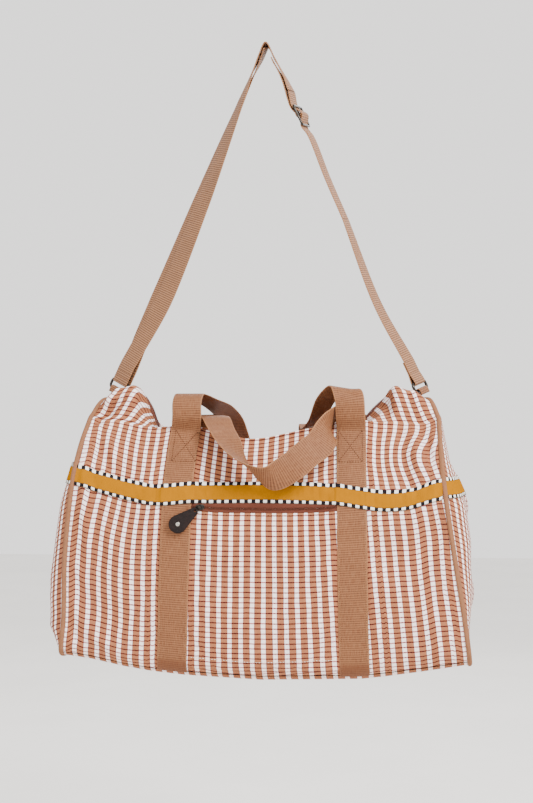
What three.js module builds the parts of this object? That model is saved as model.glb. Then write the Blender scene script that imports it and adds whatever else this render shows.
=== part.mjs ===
// A zipped canvas weekender bag hanging by its webbing shoulder strap.
// Millimetres, +Z up, +X along the bag, the front faces -Y.
// The origin is the point under the top of the strap, where the bag hangs.
import * as THREE from 'three';

// ---- driving dimensions ------------------------------------------------
const GAP = 0.3;                   // clearance between pieces that touch
const OVERLAY = 0.8;               // clearance under cloth sewn on a panel
const CANVAS = 2.4;                // striped canvas with its backing
const LINING = 1.0;                // inner lining cloth
const LINING_GAP = 6;              // the lining hangs loose inside the canvas
const WEAVE = 0.9;                 // cloth of the woven band and the pocket
const WEB_WIDTH = 38;              // webbing of handles and strap
const WEB_THICK = 1.6;
const STRAP_WIDTH = 36;
const TAB_GAP = 0.8;               // between a ring's bar and the tab that it turns in
const SLIDER_GAP = 0.8;            // between a zip slider and its coil
const PIPING_RADIUS = 2.6;
const WIRE_RADIUS = 1.9;           // wire of the strap rings
const RING_Z = -457;               // height of the ring bars under the hang point
const RING_X = [-199, 205];        // left and right ring
const LEG_TOP_X = [-97, 115];      // webbing legs where they leave the panel
const LEG_BASE_X = [-112, 122];    // webbing legs at the base seam
const END_BULGE = 36;              // how far the end panels belly out

// Half sections from the zip line over the front to the middle of the base.
// At the ends: half width, depth and height. In the middle: depth and height.
const END_SECTION = [
  [206, 0, -469], [217, -24, -473], [229, -52, -496], [236, -84, -528], [241, -108, -574],
  [248, -118, -672], [256, -119, -752], [266, -108, -797], [264, 0, -800],
];
const MID_SECTION = [
  [0, 0, -560], [0, -36, -546], [0, -64, -519], [0, -88, -545], [0, -110, -592],
  [0, -124, -690], [0, -121, -772], [0, -104, -824], [0, 0, -834],
];
const KEYS = MID_SECTION.length - 1;
const V_CREASE = 2 / KEYS;
const V_SEAM = 7 / KEYS;
const V_TAPE = 0.012;              // zip tape, from the coil
const V_PANEL = 0.054;             // to the panel's folded edge
const U_EDGE = 0.982;              // panels end here, beside the piping
const SEAM_GAP = 0.004;            // in v, at the base seam
const SAG_START = 0.5;             // the zip line sags flat up to here
const BAND_Z = [-579.5, -604.5];   // woven band, at mid bag
const POCKET_ZIP_Z = [-605.5, -615];
const COIL_HALF = 1.5;
const COIL_HIGH = 1.2;
const LEG_LOW_Z = -531;            // the handles leave the panel here

// ---- materials ---------------------------------------------------------
const material = (color, roughness, metalness = 0) =>
  new THREE.MeshStandardMaterial({ color, roughness, metalness });
const canvas = material('#d9a98f', 0.85);
const webbing = material('#b9885c', 0.6);
const ribbonCloth = material('#e2a41f', 0.7);
const pipingCloth = material('#b98a62', 0.7);
const zipCloth = material('#9a5a3c', 0.8);
const liningCloth = material('#e9e1d2', 0.9);
const leather = material('#3a241c', 0.55);
const gunmetal = material('#3d3a38', 0.35, 1);
const nickel = material('#b9b6ae', 0.3, 1);

const bag = new THREE.Group();
function add(name, geometry, mat) {
  const mesh = new THREE.Mesh(geometry, mat);
  mesh.name = name;
  bag.add(mesh);
  return mesh;
}

// ---- geometry helpers --------------------------------------------------
const vec = (x, y, z) => new THREE.Vector3(x, y, z);
const lerp = THREE.MathUtils.lerp;
const smoothstep = THREE.MathUtils.smoothstep;

// A closed solid from rings of points; each ring has the same number of points.
function skinRings(rings, loop = false) {
  const n = rings[0].length;
  const position = rings.flat().flatMap((p) => [p.x, p.y, p.z]);
  const index = [];
  const last = loop ? rings.length : rings.length - 1;
  for (let i = 0; i < last; i += 1) {
    const a = i * n;
    const b = ((i + 1) % rings.length) * n;
    for (let j = 0; j < n; j += 1) {
      const k = (j + 1) % n;
      index.push(a + j, a + k, b + k, a + j, b + k, b + j);
    }
  }
  if (!loop) {
    const end = (rings.length - 1) * n;
    for (let j = 1; j < n - 1; j += 1) {
      index.push(0, j + 1, j);
      index.push(end, end + j, end + j + 1);
    }
  }
  return outward(position, index);
}

// Turns the faces of a closed solid outwards.
function outward(position, index) {
  let volume = 0;
  const point = (i) => vec(...position.slice(3 * i, 3 * i + 3));
  for (let i = 0; i < index.length; i += 3) {
    const [a, b, c] = [point(index[i]), point(index[i + 1]), point(index[i + 2])];
    volume += a.dot(b.clone().cross(c));
  }
  if (volume < 0) {
    index.reverse();
  }
  const geometry = new THREE.BufferGeometry();
  geometry.setAttribute('position', new THREE.Float32BufferAttribute(position, 3));
  geometry.setIndex(index);
  geometry.computeVertexNormals();
  return geometry;
}

// A sheet solid over a surface, from a height above it and up by its thickness.
// The rings run around the sheet's own thin section, one for each u.
function sheet(surface, us, vs, height, thickness, lift = () => 0) {
  const rings = us.map((u) => {
    const top = [];
    const bottom = [];
    for (const v of vs) {
      const p = surface(u, v);
      const n = normal(surface, u, v);
      const low = height + lift(p.x);
      top.push(p.clone().addScaledVector(n, low + thickness));
      bottom.unshift(p.clone().addScaledVector(n, low));
    }
    return [...top, ...bottom];
  });
  return skinSheet(rings);
}

// Evenly spaced values.
const span = (from, to, steps) => Array.from({ length: steps + 1 }, (_, i) => lerp(from, to, i / steps));

// Skins a sheet's rings; its two ends are closed as strips, not as fans.
function skinSheet(rings) {
  const n = rings[0].length;
  const half = n / 2;
  const position = rings.flat().flatMap((p) => [p.x, p.y, p.z]);
  const index = [];
  for (let i = 0; i < rings.length - 1; i += 1) {
    const a = i * n;
    const b = a + n;
    for (let j = 0; j < n; j += 1) {
      const k = (j + 1) % n;
      index.push(a + j, a + k, b + k, a + j, b + k, b + j);
    }
  }
  const end = (rings.length - 1) * n;
  for (let j = 0; j < half - 1; j += 1) {
    const k = n - 1 - j;
    index.push(j, k, k - 1, j, k - 1, j + 1);
    index.push(end + j, end + k - 1, end + k, end + j, end + j + 1, end + k - 1);
  }
  return outward(position, index);
}

// Outward normal of a surface by finite differences.
function normal(surface, u, v) {
  const d = 0.004;
  const du = surface(u + d, v).sub(surface(u - d, v));
  const dv = surface(u, v + d).sub(surface(u, v - d));
  return du.cross(dv).normalize().multiplyScalar(surface.side);
}

// Webbing along a curve. Each station is [x, y, z, wx, wy, wz]: a centre and a width direction.
function webbingAlong(stations, width, steps, thickness = WEB_THICK) {
  const curve = new THREE.CatmullRomCurve3(stations.map((s) => vec(s[0], s[1], s[2])), false, 'centripetal');
  const across = new THREE.CatmullRomCurve3(stations.map((s) => vec(s[3], s[4], s[5])), false, 'centripetal');
  const rings = [];
  for (let i = 0; i <= steps; i += 1) {
    const t = i / steps;
    const centre = curve.getPoint(t);
    const along = curve.getTangent(t);
    const wide = across.getPoint(t);
    wide.addScaledVector(along, -wide.dot(along)).normalize();
    const thick = along.clone().cross(wide).normalize();
    const corner = (a, b) => centre.clone()
      .addScaledVector(wide, (a * width) / 2)
      .addScaledVector(thick, (b * thickness) / 2);
    rings.push([corner(-1, -1), corner(1, -1), corner(1, 1), corner(-1, 1)]);
  }
  return skinRings(rings);
}

// A round wire or tube bent along points, closed on itself or with flat ends.
function wire(points, radius, sides, steps, loop) {
  const curve = new THREE.CatmullRomCurve3(points, loop, 'centripetal');
  const frames = curve.computeFrenetFrames(steps, loop);
  const rings = [];
  for (let i = 0; i < (loop ? steps : steps + 1); i += 1) {
    const centre = curve.getPointAt(i / steps);
    const ring = [];
    for (let j = 0; j < sides; j += 1) {
      const angle = (2 * Math.PI * j) / sides;
      ring.push(centre.clone()
        .addScaledVector(frames.normals[i], radius * Math.cos(angle))
        .addScaledVector(frames.binormals[i], radius * Math.sin(angle)));
    }
    rings.push(ring);
  }
  return skinRings(rings, loop);
}

// ---- the bag's shape ---------------------------------------------------
const spline = (rows) => new THREE.CatmullRomCurve3(rows.map((r) => vec(...r)), false, 'centripetal');
const endCurve = spline(END_SECTION);
const midCurve = spline(MID_SECTION);
const within = (value, low, high) => THREE.MathUtils.clamp(value, low, high);

// The body surface on one side, front (-1) or back (+1). u runs from the left piping (-1)
// to the right piping (+1), v from the zip line (0) down to the middle of the base (1).
function bodySurface(side) {
  const surface = (u, v) => {
    const end = endCurve.getPoint(within(v, 0, 1));
    const mid = midCurve.getPoint(within(v, 0, 1));
    const a = Math.abs(u);
    const ear = smoothstep(a, SAG_START, 1);
    const belly = a ** 2.4;
    const share = lerp(ear, belly, smoothstep(v, 0.2, 0.55));
    return vec(u * end.x, -side * lerp(mid.y, end.y, share), lerp(mid.z, end.z, share));
  };
  surface.side = side;
  return surface;
}
const front = bodySurface(-1);
const back = bodySurface(1);

// Front, base and back as one surface: w runs from the zip line (0) around to it again (2).
const around = (u, w) => (w <= 1 ? front(u, w) : back(u, 2 - w));
around.side = -1;

// An end panel, left (-1) or right (+1): s runs from front to back, v down.
const EDGE_INSET = 6.2;
function endSurface(side) {
  const [topZ, lowZ] = [END_SECTION[0][2], END_SECTION[7][2]];
  const surface = (s, v) => {
    const end = endCurve.getPoint(within(v, 0, 1));
    const drop = within((end.z - topZ) / (lowZ - topZ), 0, 1);
    const bulge = END_BULGE * Math.max(Math.sin(Math.PI * drop ** 1.25), 0) ** 0.9;
    const half = Math.abs(end.y) - EDGE_INSET;
    return vec(side * (end.x + bulge * (1 - s * s)), s * half, end.z);
  };
  surface.side = -side;
  return surface;
}

// The v at which the middle of the front panel has a height.
function vAtHeight(z) {
  let [low, high] = [V_CREASE, 1];
  for (let i = 0; i < 30; i += 1) {
    const v = (low + high) / 2;
    if (midCurve.getPoint(v).z > z) {
      low = v;
    } else {
      high = v;
    }
  }
  return low;
}
const V_BAND = BAND_Z.map(vAtHeight);
const V_POCKET_ZIP = POCKET_ZIP_Z.map(vAtHeight);
const V_LEG_TOP = vAtHeight(LEG_LOW_Z);

// ---- panels ------------------------------------------------------------
const seamEnd = V_SEAM - SEAM_GAP;
const panelV = [...span(V_PANEL, V_CREASE, 3), ...span(V_CREASE, seamEnd, 10).slice(1)];
const panelU = span(-U_EDGE, U_EDGE, 18);
add('front_panel', sheet(front, panelU, panelV, -CANVAS, CANVAS), canvas);
add('back_panel', sheet(back, panelU, panelV, -CANVAS, CANVAS), canvas);
add('base_panel', sheet(around, span(-U_EDGE, U_EDGE, 10), span(V_SEAM + SEAM_GAP, 2 - V_SEAM - SEAM_GAP, 4),
  -CANVAS, CANVAS), canvas);
const liningHeight = -CANVAS - LINING_GAP - LINING;
add('lining_body', sheet(around, span(-0.94, 0.94, 12), span(0.31, 1.69, 15), liningHeight, LINING), liningCloth);

const SIDES = [['left', -1, 0], ['right', 1, 1]];
for (const [name, side] of SIDES) {
  const surface = endSurface(side);
  const endV = span(0.11, V_SEAM - 0.028, 9);
  add(`end_panel_${name}`, sheet(surface, span(-1, 1, 6), endV, -CANVAS, CANVAS), canvas);
  add(`lining_end_${name}`, sheet(surface, span(-0.88, 0.88, 6), span(0.17, V_SEAM - 0.045, 8),
    liningHeight, LINING), liningCloth);
  const loop = [...END_SECTION, ...END_SECTION.slice(1, -1).reverse().map(([x, y, z]) => [x, -y, z])];
  add(`piping_${name}`, wire(loop.map(([x, y, z]) => vec(side * x, y, z)), PIPING_RADIUS, 5, 36, true),
    pipingCloth);
  add(`band_end_${name}`, sheet(surface, span(-1, 1, 6), span(...V_BAND, 1), OVERLAY, WEAVE), ribbonCloth);
}

// ---- webbing legs sewn up the panels ------------------------------------
const LEG_HIGH = OVERLAY + WEB_THICK;
const halfWeb = WEB_WIDTH / 2;
const legX = (i, v) => lerp(LEG_TOP_X[i], LEG_BASE_X[i], (v - V_CREASE) / (V_SEAM - V_CREASE));
function legSurface(body, i) {
  const surface = (s, v) => body((legX(i, v) + s * halfWeb) / endCurve.getPoint(v).x, v);
  surface.side = body.side;
  return surface;
}
for (const [face, body] of [['front', front], ['back', back]]) {
  for (const [name, , i] of SIDES) {
    const leg = sheet(legSurface(body, i), span(-1, 1, 1), span(V_LEG_TOP, seamEnd, 9), OVERLAY, WEB_THICK);
    add(`${face}_leg_${name}`, leg, webbing);
  }
}

// ---- woven band over panels and legs -------------------------------------
const bandV = (V_BAND[0] + V_BAND[1]) / 2;
const legAtBand = [0, 1].map((i) => legX(i, bandV));
const RAMP = [1.2, 6];             // the band climbs the webbing's edge between these distances
function climb(x) {
  const away = Math.min(...legAtBand.map((c) => Math.abs(x - c))) - halfWeb;
  return LEG_HIGH * (1 - smoothstep(away, ...RAMP));
}
const bandHalf = endCurve.getPoint(bandV).x;
const rampEdges = RAMP.flatMap((d) => [-halfWeb - d, halfWeb + d]);
const rampX = legAtBand.flatMap((c) => rampEdges.map((d) => c + d));
const bandU = [...span(-U_EDGE, U_EDGE, 14), ...rampX.map((x) => x / bandHalf)].sort((a, b) => a - b);
add('band_front', sheet(front, bandU, span(...V_BAND, 1), OVERLAY, WEAVE, climb), ribbonCloth);
add('band_back', sheet(back, bandU, span(...V_BAND, 1), OVERLAY, WEAVE, climb), ribbonCloth);

// ---- front pocket between the legs ---------------------------------------
const zipMiddle = (POCKET_ZIP_Z[0] + POCKET_ZIP_Z[1]) / 2;
const pocketSurface = (s, v) => {
  const left = legX(0, v) + halfWeb + 1;
  const right = legX(1, v) - halfWeb - 1;
  return front(lerp(left, right, (s + 1) / 2) / endCurve.getPoint(v).x, v);
};
pocketSurface.side = front.side;
function pocketStrip(fromZ, toZ, thickness, steps = 1) {
  const vs = span(vAtHeight(fromZ), vAtHeight(toZ), steps);
  return sheet(pocketSurface, span(-1, 1, 8), vs, OVERLAY, thickness);
}
const coilTop = zipMiddle + COIL_HALF;
const coilLow = zipMiddle - COIL_HALF;
const pocketBase = MID_SECTION[7][2] + 3;
add('pocket_zip_tape_upper', pocketStrip(POCKET_ZIP_Z[0], coilTop + GAP, 0.6), zipCloth);
add('pocket_zip_tape_lower', pocketStrip(coilLow - GAP, POCKET_ZIP_Z[1], 0.6), zipCloth);
add('pocket_zip_coil', pocketStrip(coilTop, coilLow, COIL_HIGH), zipCloth);
add('pocket_panel', pocketStrip(POCKET_ZIP_Z[1] - GAP, pocketBase, WEAVE, 6), canvas);
add('pocket_lining', sheet(pocketSurface, span(-0.94, 0.94, 6), span(V_POCKET_ZIP[1], V_SEAM - 0.03, 7),
  -CANVAS - LINING_GAP / 2, LINING), liningCloth);

// ---- zip along the top ----------------------------------------------------
const zipU = span(-0.93, 0.93, 14);
add('main_zip_tape_front', sheet(front, zipU, span(V_TAPE, V_PANEL - 0.003, 1), -0.9, 0.9), zipCloth);
add('main_zip_tape_back', sheet(back, zipU, span(V_TAPE, V_PANEL - 0.003, 1), -0.9, 0.9), zipCloth);
const coilStation = (u) => {
  const p = front(u, 0);
  return [p.x, 0, p.z, 0, 1, 0];
};
add('main_zip_coil', webbingAlong(span(-0.95, 0.95, 14).map(coilStation), 3.6, 24, 1.4), zipCloth);

// ---- handles --------------------------------------------------------------
// Each is one webbing, sewn up a panel at both feet. Both have fallen over the closed top,
// each to the far side, so that they cross there. A station is a centre and a width direction.
const REAR_HANDLE = {
  crossing_left: [
    [-97, 80, -526.5, 1, 0, 0], [-97, 86, -515, 1, 0, 0], [-97, 83, -502, 1, 0, 0], [-95, 70, -495, 1, 0, 0],
    [-90, 40, -494, 1, 0, 0], [-80, 0, -494, 0.97, 0.1, 0], [-68, -45, -494, 0.95, 0.2, 0],
    [-60, -68, -496, 0.9, 0.35, 0], [-52, -86, -508, 0.9, 0.4, -0.1],
  ],
  loop: [
    [-51, -88, -509.5, 0.9, 0.4, -0.1], [-41, -104, -523, 0.85, 0.5, -0.1], [-26, -120, -545, 0.5, 0.82, -0.2],
    [-5, -132, -563, 0.2, 0.85, -0.5], [18, -136, -570, 0.5, 0.4, -0.8], [43, -133, -557, 0.79, 0.05, -0.61],
    [63, -124, -540, 0.79, 0, -0.61], [78, -113, -528, 0.79, 0.05, -0.61],
  ],
  crossing_right: [
    [82, -108.3, -523, 0.79, 0.05, -0.61], [86, -100, -513, 0.65, 0.3, -0.68], [89, -85, -503, 0.1, 0.7, -0.7],
    [95, -62, -497, -0.1, 0.75, -0.65], [104, -30, -497, -0.4, 0.5, -0.75], [110, 10, -499, -0.7, 0.3, -0.6],
    [114, 48, -498, -0.95, 0.1, -0.2], [115, 72, -499, -1, 0, 0], [115, 84, -505, -1, 0, 0],
    [115, 86, -517, -1, 0, 0], [115, 80, -526.5, -1, 0, 0],
  ],
};
const FRONT_HANDLE = {
  crossing_left: [
    [-97.5, -80, -526.5, 1, 0, 0], [-97.5, -87, -515, 1, 0, 0], [-97, -87, -490, 1, 0, 0],
    [-97, -82, -475, 1, 0, 0], [-96, -66, -466, 1, 0, 0], [-94, -38, -466, 1, 0, 0],
    [-86, 4, -472, 1, 0.05, 0], [-70, 50, -482, 1, 0, 0],
    [-58, 84, -499, 0.95, -0.2, 0], [-50, 102, -520, 0.85, -0.45, 0],
  ],
  loop: [
    [-49, 104, -522.5, 0.85, -0.45, 0], [-42, 113, -538, 0.7, -0.65, -0.1], [-26, 125, -560, 0.4, -0.85, -0.25],
    [0, 132, -572, 0, -0.95, -0.3], [26, 125, -562, -0.4, -0.85, -0.2], [44, 112, -541, -0.7, -0.65, 0],
    [49.5, 106, -532, -0.72, -0.63, 0],
  ],
  crossing_right: [
    [52, 102, -526, -0.72, -0.63, 0], [58, 88, -510, -0.75, -0.6, 0], [64, 62, -501, -0.7, -0.7, 0],
    [70, 30, -502, -0.55, -0.8, -0.1], [79, -2, -492, -0.5, -0.8, -0.1], [89, -28, -470, -0.65, -0.7, 0],
    [101, -52, -458, -0.9, -0.35, 0.15], [109, -70, -459, -1, 0, 0.15], [114, -83, -468, -1, 0, 0.05],
    [115.5, -87, -486, -1, 0, 0], [115.5, -87, -515, -1, 0, 0], [115, -80, -526.5, -1, 0, 0],
  ],
};
const HANDLE_STEPS = 3;            // rings for each station
for (const [name, handle] of [['rear', REAR_HANDLE], ['front', FRONT_HANDLE]]) {
  for (const [part, stations] of Object.entries(handle)) {
    add(`${name}_handle_${part}`, webbingAlong(stations, WEB_WIDTH, HANDLE_STEPS * stations.length), webbing);
  }
}

// ---- rings and shoulder strap ----------------------------------------------
// Along each run: up the run, across the webbing, and out of its face, away from the loop.
const SLOPE = 0.42;
const UP = Math.sqrt(1 - SLOPE * SLOPE);
function strapFrame(side, turn) {
  const along = vec(-side * SLOPE, 0, UP);
  const acrossView = vec(0, 1, 0).cross(along);
  const wide = acrossView.multiplyScalar(turn).add(vec(0, Math.sqrt(1 - turn * turn), 0));
  const out = along.clone().cross(wide).multiplyScalar(-side);
  return { along, wide, out };
}
const RING_TURN = [-0.68, 0.44];   // how far each ring is turned towards the front view
const RING_HALF = [23, 6];         // half width and half height of a ring, to its wire
const ringCentre = [0, 1].map((i) => vec(RING_X[i], 0, RING_Z + 3));
const inFrame = (frame, origin, w, t, n) => origin.clone()
  .addScaledVector(frame.wide, w)
  .addScaledVector(frame.along, t)
  .addScaledVector(frame.out, n);

// A strip folded around a ring's bar, open away from it: one leg each side, joined by a half turn.
const TURN_RADIUS = WIRE_RADIUS + GAP + WEB_THICK / 2;
function foldedStrip(frame, centre, way, legs, width, radius = TURN_RADIUS) {
  const path = [[-1, legs[0]]];
  for (let i = 0; i <= 6; i += 1) {
    path.push([-Math.cos((Math.PI * i) / 6), -Math.sin((Math.PI * i) / 6)]);
  }
  path.push([1, legs[1]]);
  const rings = path.map(([n, t], i) => {
    const [nIn, nOut] = [radius - WEB_THICK / 2, radius + WEB_THICK / 2];
    const leg = i === 0 || i === path.length - 1;
    return [[-1, nIn], [1, nIn], [1, nOut], [-1, nOut]].map(([w, r]) =>
      inFrame(frame, centre, (w * width) / 2, way * (leg ? t : t * r), n * r));
  });
  return skinRings(rings);
}
const STRAP_LEGS = [[6, 6], [34, 30]];
const TAB_WIDTH = 30;
for (const [name, side, i] of SIDES) {
  const frame = strapFrame(side, RING_TURN[i]);
  const [w, t] = RING_HALF;
  const corners = [
    [-w + 4, -t], [-w, -t + 3], [-w, t - 3], [-w + 4, t], [w - 4, t], [w, t - 3], [w, -t + 3], [w - 4, -t],
  ];
  const points = corners.map(([a, b]) => inFrame(frame, ringCentre[i], a, b, 0));
  add(`ring_${name}`, wire(points, WIRE_RADIUS, 6, 26, true), gunmetal);
  const lower = inFrame(frame, ringCentre[i], 0, -t, 0);
  const upper = inFrame(frame, ringCentre[i], 0, t, 0);
  const tab = foldedStrip(frame, lower, -1, [5, 5], TAB_WIDTH, TURN_RADIUS + TAB_GAP - GAP);
  add(`ring_tab_${name}`, tab, webbing);
  add(`strap_fold_${name}`, foldedStrip(frame, upper, 1, STRAP_LEGS[i], STRAP_WIDTH), webbing);
}

// The runs, as [x, z, lift off the middle line, turn].
const station = (side) => ([x, z, lift, turn]) => {
  const frame = strapFrame(side, turn);
  const p = inFrame(frame, vec(x, 0, z), 0, 0, lift);
  return [...p.toArray(), ...frame.wide.toArray()];
};
const apex = (z) => [0, 0, z, 0, 1, 0];
const leftStart = inFrame(strapFrame(-1, RING_TURN[0]), ringCentre[0], 0, RING_HALF[1] + 9, 0);
const rightStart = inFrame(strapFrame(1, RING_TURN[1]), ringCentre[1], 0, RING_HALF[1] + 37, 0);
const LEFT_LINE = [[-171, -406, -0.66], [-141, -338, -0.64], [-87, -204, -0.5], [-35, -70, -0.2], [-9, -15, 0]];
const RIGHT_LINE = [[9, -15, 0], [24, -42, 0.1]];
const ADJUSTER = { x: 47, z: -92, halfWidth: 20.5, halfHeight: 14, bar: 1.5 };
const barLift = ADJUSTER.bar + GAP + WEB_THICK / 2;
const SLIDE_RUN = 150;             // the strap's stretch under the adjuster that it can slide over
const LAYER = 1.7;                 // half the spacing of the two layers
const leftStations = (sign, lean) => [
  station(-1)([leftStart.x, leftStart.z, sign * TURN_RADIUS, RING_TURN[0]]),
  ...LEFT_LINE.map(([x, z, turn]) => station(-1)([x, z, sign * lean, turn])),
];
const along = (distance) => [ADJUSTER.x - SLOPE * distance, ADJUSTER.z + UP * distance];
const overFold = TURN_RADIUS + WEB_THICK + 2 * GAP;
const woven = [
  [ADJUSTER.halfHeight, -barLift], [0, overFold], [-ADJUSTER.halfHeight, -barLift], [-30, 0], [-SLIDE_RUN, 0],
];
const onRight = ([distance, lift]) => station(1)([...along(distance), lift, 0.2]);
const outerRun = [
  ...leftStations(1, LAYER),
  apex(4.4),
  ...RIGHT_LINE.map(([x, z, turn]) => station(1)([x, z, LAYER, turn])),
  onRight([36, LAYER]),
];
const slideRun = [onRight([35, LAYER]), ...woven.map(onRight)];
const rightRun = [
  onRight([-SLIDE_RUN - 1, 0]),
  station(1)([150, -345, 0, 0.27]),
  station(1)([rightStart.x, rightStart.z, TURN_RADIUS, RING_TURN[1]]),
];
add('strap_outer_run', webbingAlong(outerRun, STRAP_WIDTH, 34), webbing);
add('strap_slide_run', webbingAlong(slideRun, STRAP_WIDTH, 26), webbing);
add('strap_right_run', webbingAlong(rightRun, STRAP_WIDTH, 8), webbing);
const doubledLeft = [...leftStations(-1, LAYER), apex(1.0)];
add('strap_return_left', webbingAlong(doubledLeft, STRAP_WIDTH, 20), webbing);
const doubledRight = [
  ...RIGHT_LINE.map(([x, z, turn]) => station(1)([x, z, -LAYER, turn])),
  station(1)([...along(26), -barLift - WEB_THICK, 0.2]),
  station(1)([...along(14), -barLift - WEB_THICK - 1, 0.2]),
  station(1)([...along(6.5), -TURN_RADIUS - 0.4, 0.2]),
];
add('strap_return_right', webbingAlong(doubledRight, STRAP_WIDTH, 20), webbing);

// The adjuster: a flat wire frame with a middle bar that the strap's end is sewn around.
const adjusterFrame = strapFrame(1, 0.2);
const adjusterCentre = vec(ADJUSTER.x, 0, ADJUSTER.z);
const { halfWidth, halfHeight, bar } = ADJUSTER;
const rim = [[-1, -0.8], [-1, 0.8], [-0.9, 1], [0.9, 1], [1, 0.8], [1, -0.8], [0.9, -1], [-0.9, -1]];
const rimPoints = rim.map(([a, b]) => inFrame(adjusterFrame, adjusterCentre, a * halfWidth, b * halfHeight, 0));
add('adjuster_frame', wire(rimPoints, bar, 6, 28, true), gunmetal);
const barEnd = halfWidth - bar - GAP;
const barPoints = [-barEnd, 0, barEnd].map((w) => inFrame(adjusterFrame, adjusterCentre, w, 0, 0));
add('adjuster_bar', wire(barPoints, bar, 8, 2, false), gunmetal);
add('strap_sewn_end', foldedStrip(adjusterFrame, adjusterCentre, 1, [5, 0.6], STRAP_WIDTH - 2), webbing);

// ---- sliders and pulls -----------------------------------------------------
// A slider lies on its coil: a body with an eye for the pull's wire loop.
// Its frame: travel along X, up off the coil.
function basis(mesh, origin, x, y) {
  const z = x.clone().cross(y);
  mesh.applyMatrix4(new THREE.Matrix4().makeBasis(x, y, z).setPosition(origin));
}
const SLIDER = { length: 11, height: 2, width: 7, bail: 2.7, wire: 0.7 };
const LOOP_REACH = 7.4;
// The pull: a leather tongue with a round end, a hole for the wire loop and a rivet.
const PULL = { length: 26, endRadius: 11.6, neck: 5.2, thickness: 2.2, hole: 1.7, holeAt: -2, rivet: 2.6 };
function pullShape() {
  const { length, endRadius, neck, hole, holeAt } = PULL;
  const shape = new THREE.Shape();
  const taper = Math.asin((endRadius - neck) / length);
  shape.absarc(length, 0, endRadius, -Math.PI / 2 - taper, Math.PI / 2 + taper, false);
  shape.absarc(0, 0, neck, Math.PI / 2 + taper, (3 * Math.PI) / 2 - taper, false);
  shape.closePath();
  const eye = new THREE.Path();
  eye.absarc(holeAt, 0, hole, 0, 2 * Math.PI, true);
  shape.holes.push(eye);
  return new THREE.ExtrudeGeometry(shape, { depth: PULL.thickness, bevelEnabled: false, curveSegments: 8 });
}

// A slider at a point on its coil, with its bail standing along `up` and its pull lying along `lie`.
function sliderSet(name, origin, up, travel, lie) {
  const body = new THREE.BoxGeometry(SLIDER.length, SLIDER.height, SLIDER.width);
  const side = travel.clone().cross(up);
  const point = (t, u, s) => origin.clone()
    .addScaledVector(travel, t)
    .addScaledVector(up, u)
    .addScaledVector(side, s);
  basis(add(`${name}_slider`, body, gunmetal), point(0, SLIDER.height / 2, 0), travel, up);
  const foot = SLIDER.height + GAP;
  const { bail } = SLIDER;
  const arch = [[-bail, foot], [-bail, foot + 2], [0, foot + 3.7], [bail, foot + 2], [bail, foot]];
  add(`${name}_slider_bail`, wire(arch.map(([t, u]) => point(t, u, 0)), SLIDER.wire, 5, 10, false), gunmetal);

  const eye = point(0, foot + 2, 0);
  const out = up.clone().addScaledVector(lie, -up.dot(lie)).normalize();
  const across = out.clone().cross(lie);
  const loop = [
    [-0.3, 0, 0], [1.5, 3.4, 0.3], [4.8, 1.4, 2.2], [LOOP_REACH, 0, 0], [4.8, -1.4, -2.2], [1.5, -3.4, -0.3],
  ];
  const loopPoints = loop.map(([l, a, o]) => eye.clone()
    .addScaledVector(lie, l)
    .addScaledVector(across, a)
    .addScaledVector(out, o));
  add(`${name}_pull_loop`, wire(loopPoints, 0.5, 5, 18, true), gunmetal);
  const neck = eye.clone().addScaledVector(lie, LOOP_REACH - 0.2 - PULL.holeAt);
  const pullBack = neck.clone().addScaledVector(out, -PULL.thickness / 2);
  basis(add(`${name}_pull`, pullShape(), leather), pullBack, lie, across);
  const rivet = new THREE.CylinderGeometry(PULL.rivet, PULL.rivet, 0.8, 12);
  const head = neck.clone()
    .addScaledVector(lie, PULL.length)
    .addScaledVector(out, PULL.thickness / 2 + GAP + 0.4);
  basis(add(`${name}_pull_rivet`, rivet, nickel), head, lie, out);
}
const pocketSliderAt = pocketSurface(-0.86, vAtHeight(zipMiddle));
const onCoil = OVERLAY + COIL_HIGH + SLIDER_GAP;
sliderSet('pocket', pocketSliderAt.add(vec(0, -onCoil, 0)), vec(0, -1, 0), vec(1, 0, 0),
  vec(-0.78, -0.14, -0.61).normalize());
const mainSliderAt = vec(92, 0, MID_SECTION[0][2] + 1.2);
sliderSet('main', mainSliderAt, vec(0, 0, 1), vec(1, 0, 0), vec(-0.97, 0, 0.25).normalize());

export default bag;
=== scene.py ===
"""A canvas weekender bag hanging by its webbing shoulder strap.

Tables are in millimetres: X along the bag, the front faces -Y, +Z up, and the origin is
under the top of the strap. Meshes are made in metres.
"""

import math

import bpy
import numpy as np
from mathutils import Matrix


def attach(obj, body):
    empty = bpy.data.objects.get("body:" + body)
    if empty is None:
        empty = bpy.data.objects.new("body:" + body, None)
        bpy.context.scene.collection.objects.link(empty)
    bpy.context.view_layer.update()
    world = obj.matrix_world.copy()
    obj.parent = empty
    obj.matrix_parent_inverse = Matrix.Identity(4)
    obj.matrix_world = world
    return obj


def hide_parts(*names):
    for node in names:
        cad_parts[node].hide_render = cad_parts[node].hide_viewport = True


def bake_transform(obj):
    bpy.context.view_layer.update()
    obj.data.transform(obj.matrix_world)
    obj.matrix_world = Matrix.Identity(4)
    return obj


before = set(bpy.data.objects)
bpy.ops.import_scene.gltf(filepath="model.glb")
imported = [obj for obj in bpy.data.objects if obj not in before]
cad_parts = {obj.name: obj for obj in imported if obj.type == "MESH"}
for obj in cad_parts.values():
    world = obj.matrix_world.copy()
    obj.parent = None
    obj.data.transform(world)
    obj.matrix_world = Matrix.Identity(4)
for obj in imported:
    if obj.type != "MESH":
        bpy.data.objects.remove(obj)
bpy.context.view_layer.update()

MM = 0.001
FRONT, BACK = -1, 1
LEFT, RIGHT = -1, 1
SIDE_NAMES = {LEFT: "left", RIGHT: "right"}
FACE_NAMES = {FRONT: "front", BACK: "back"}

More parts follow.
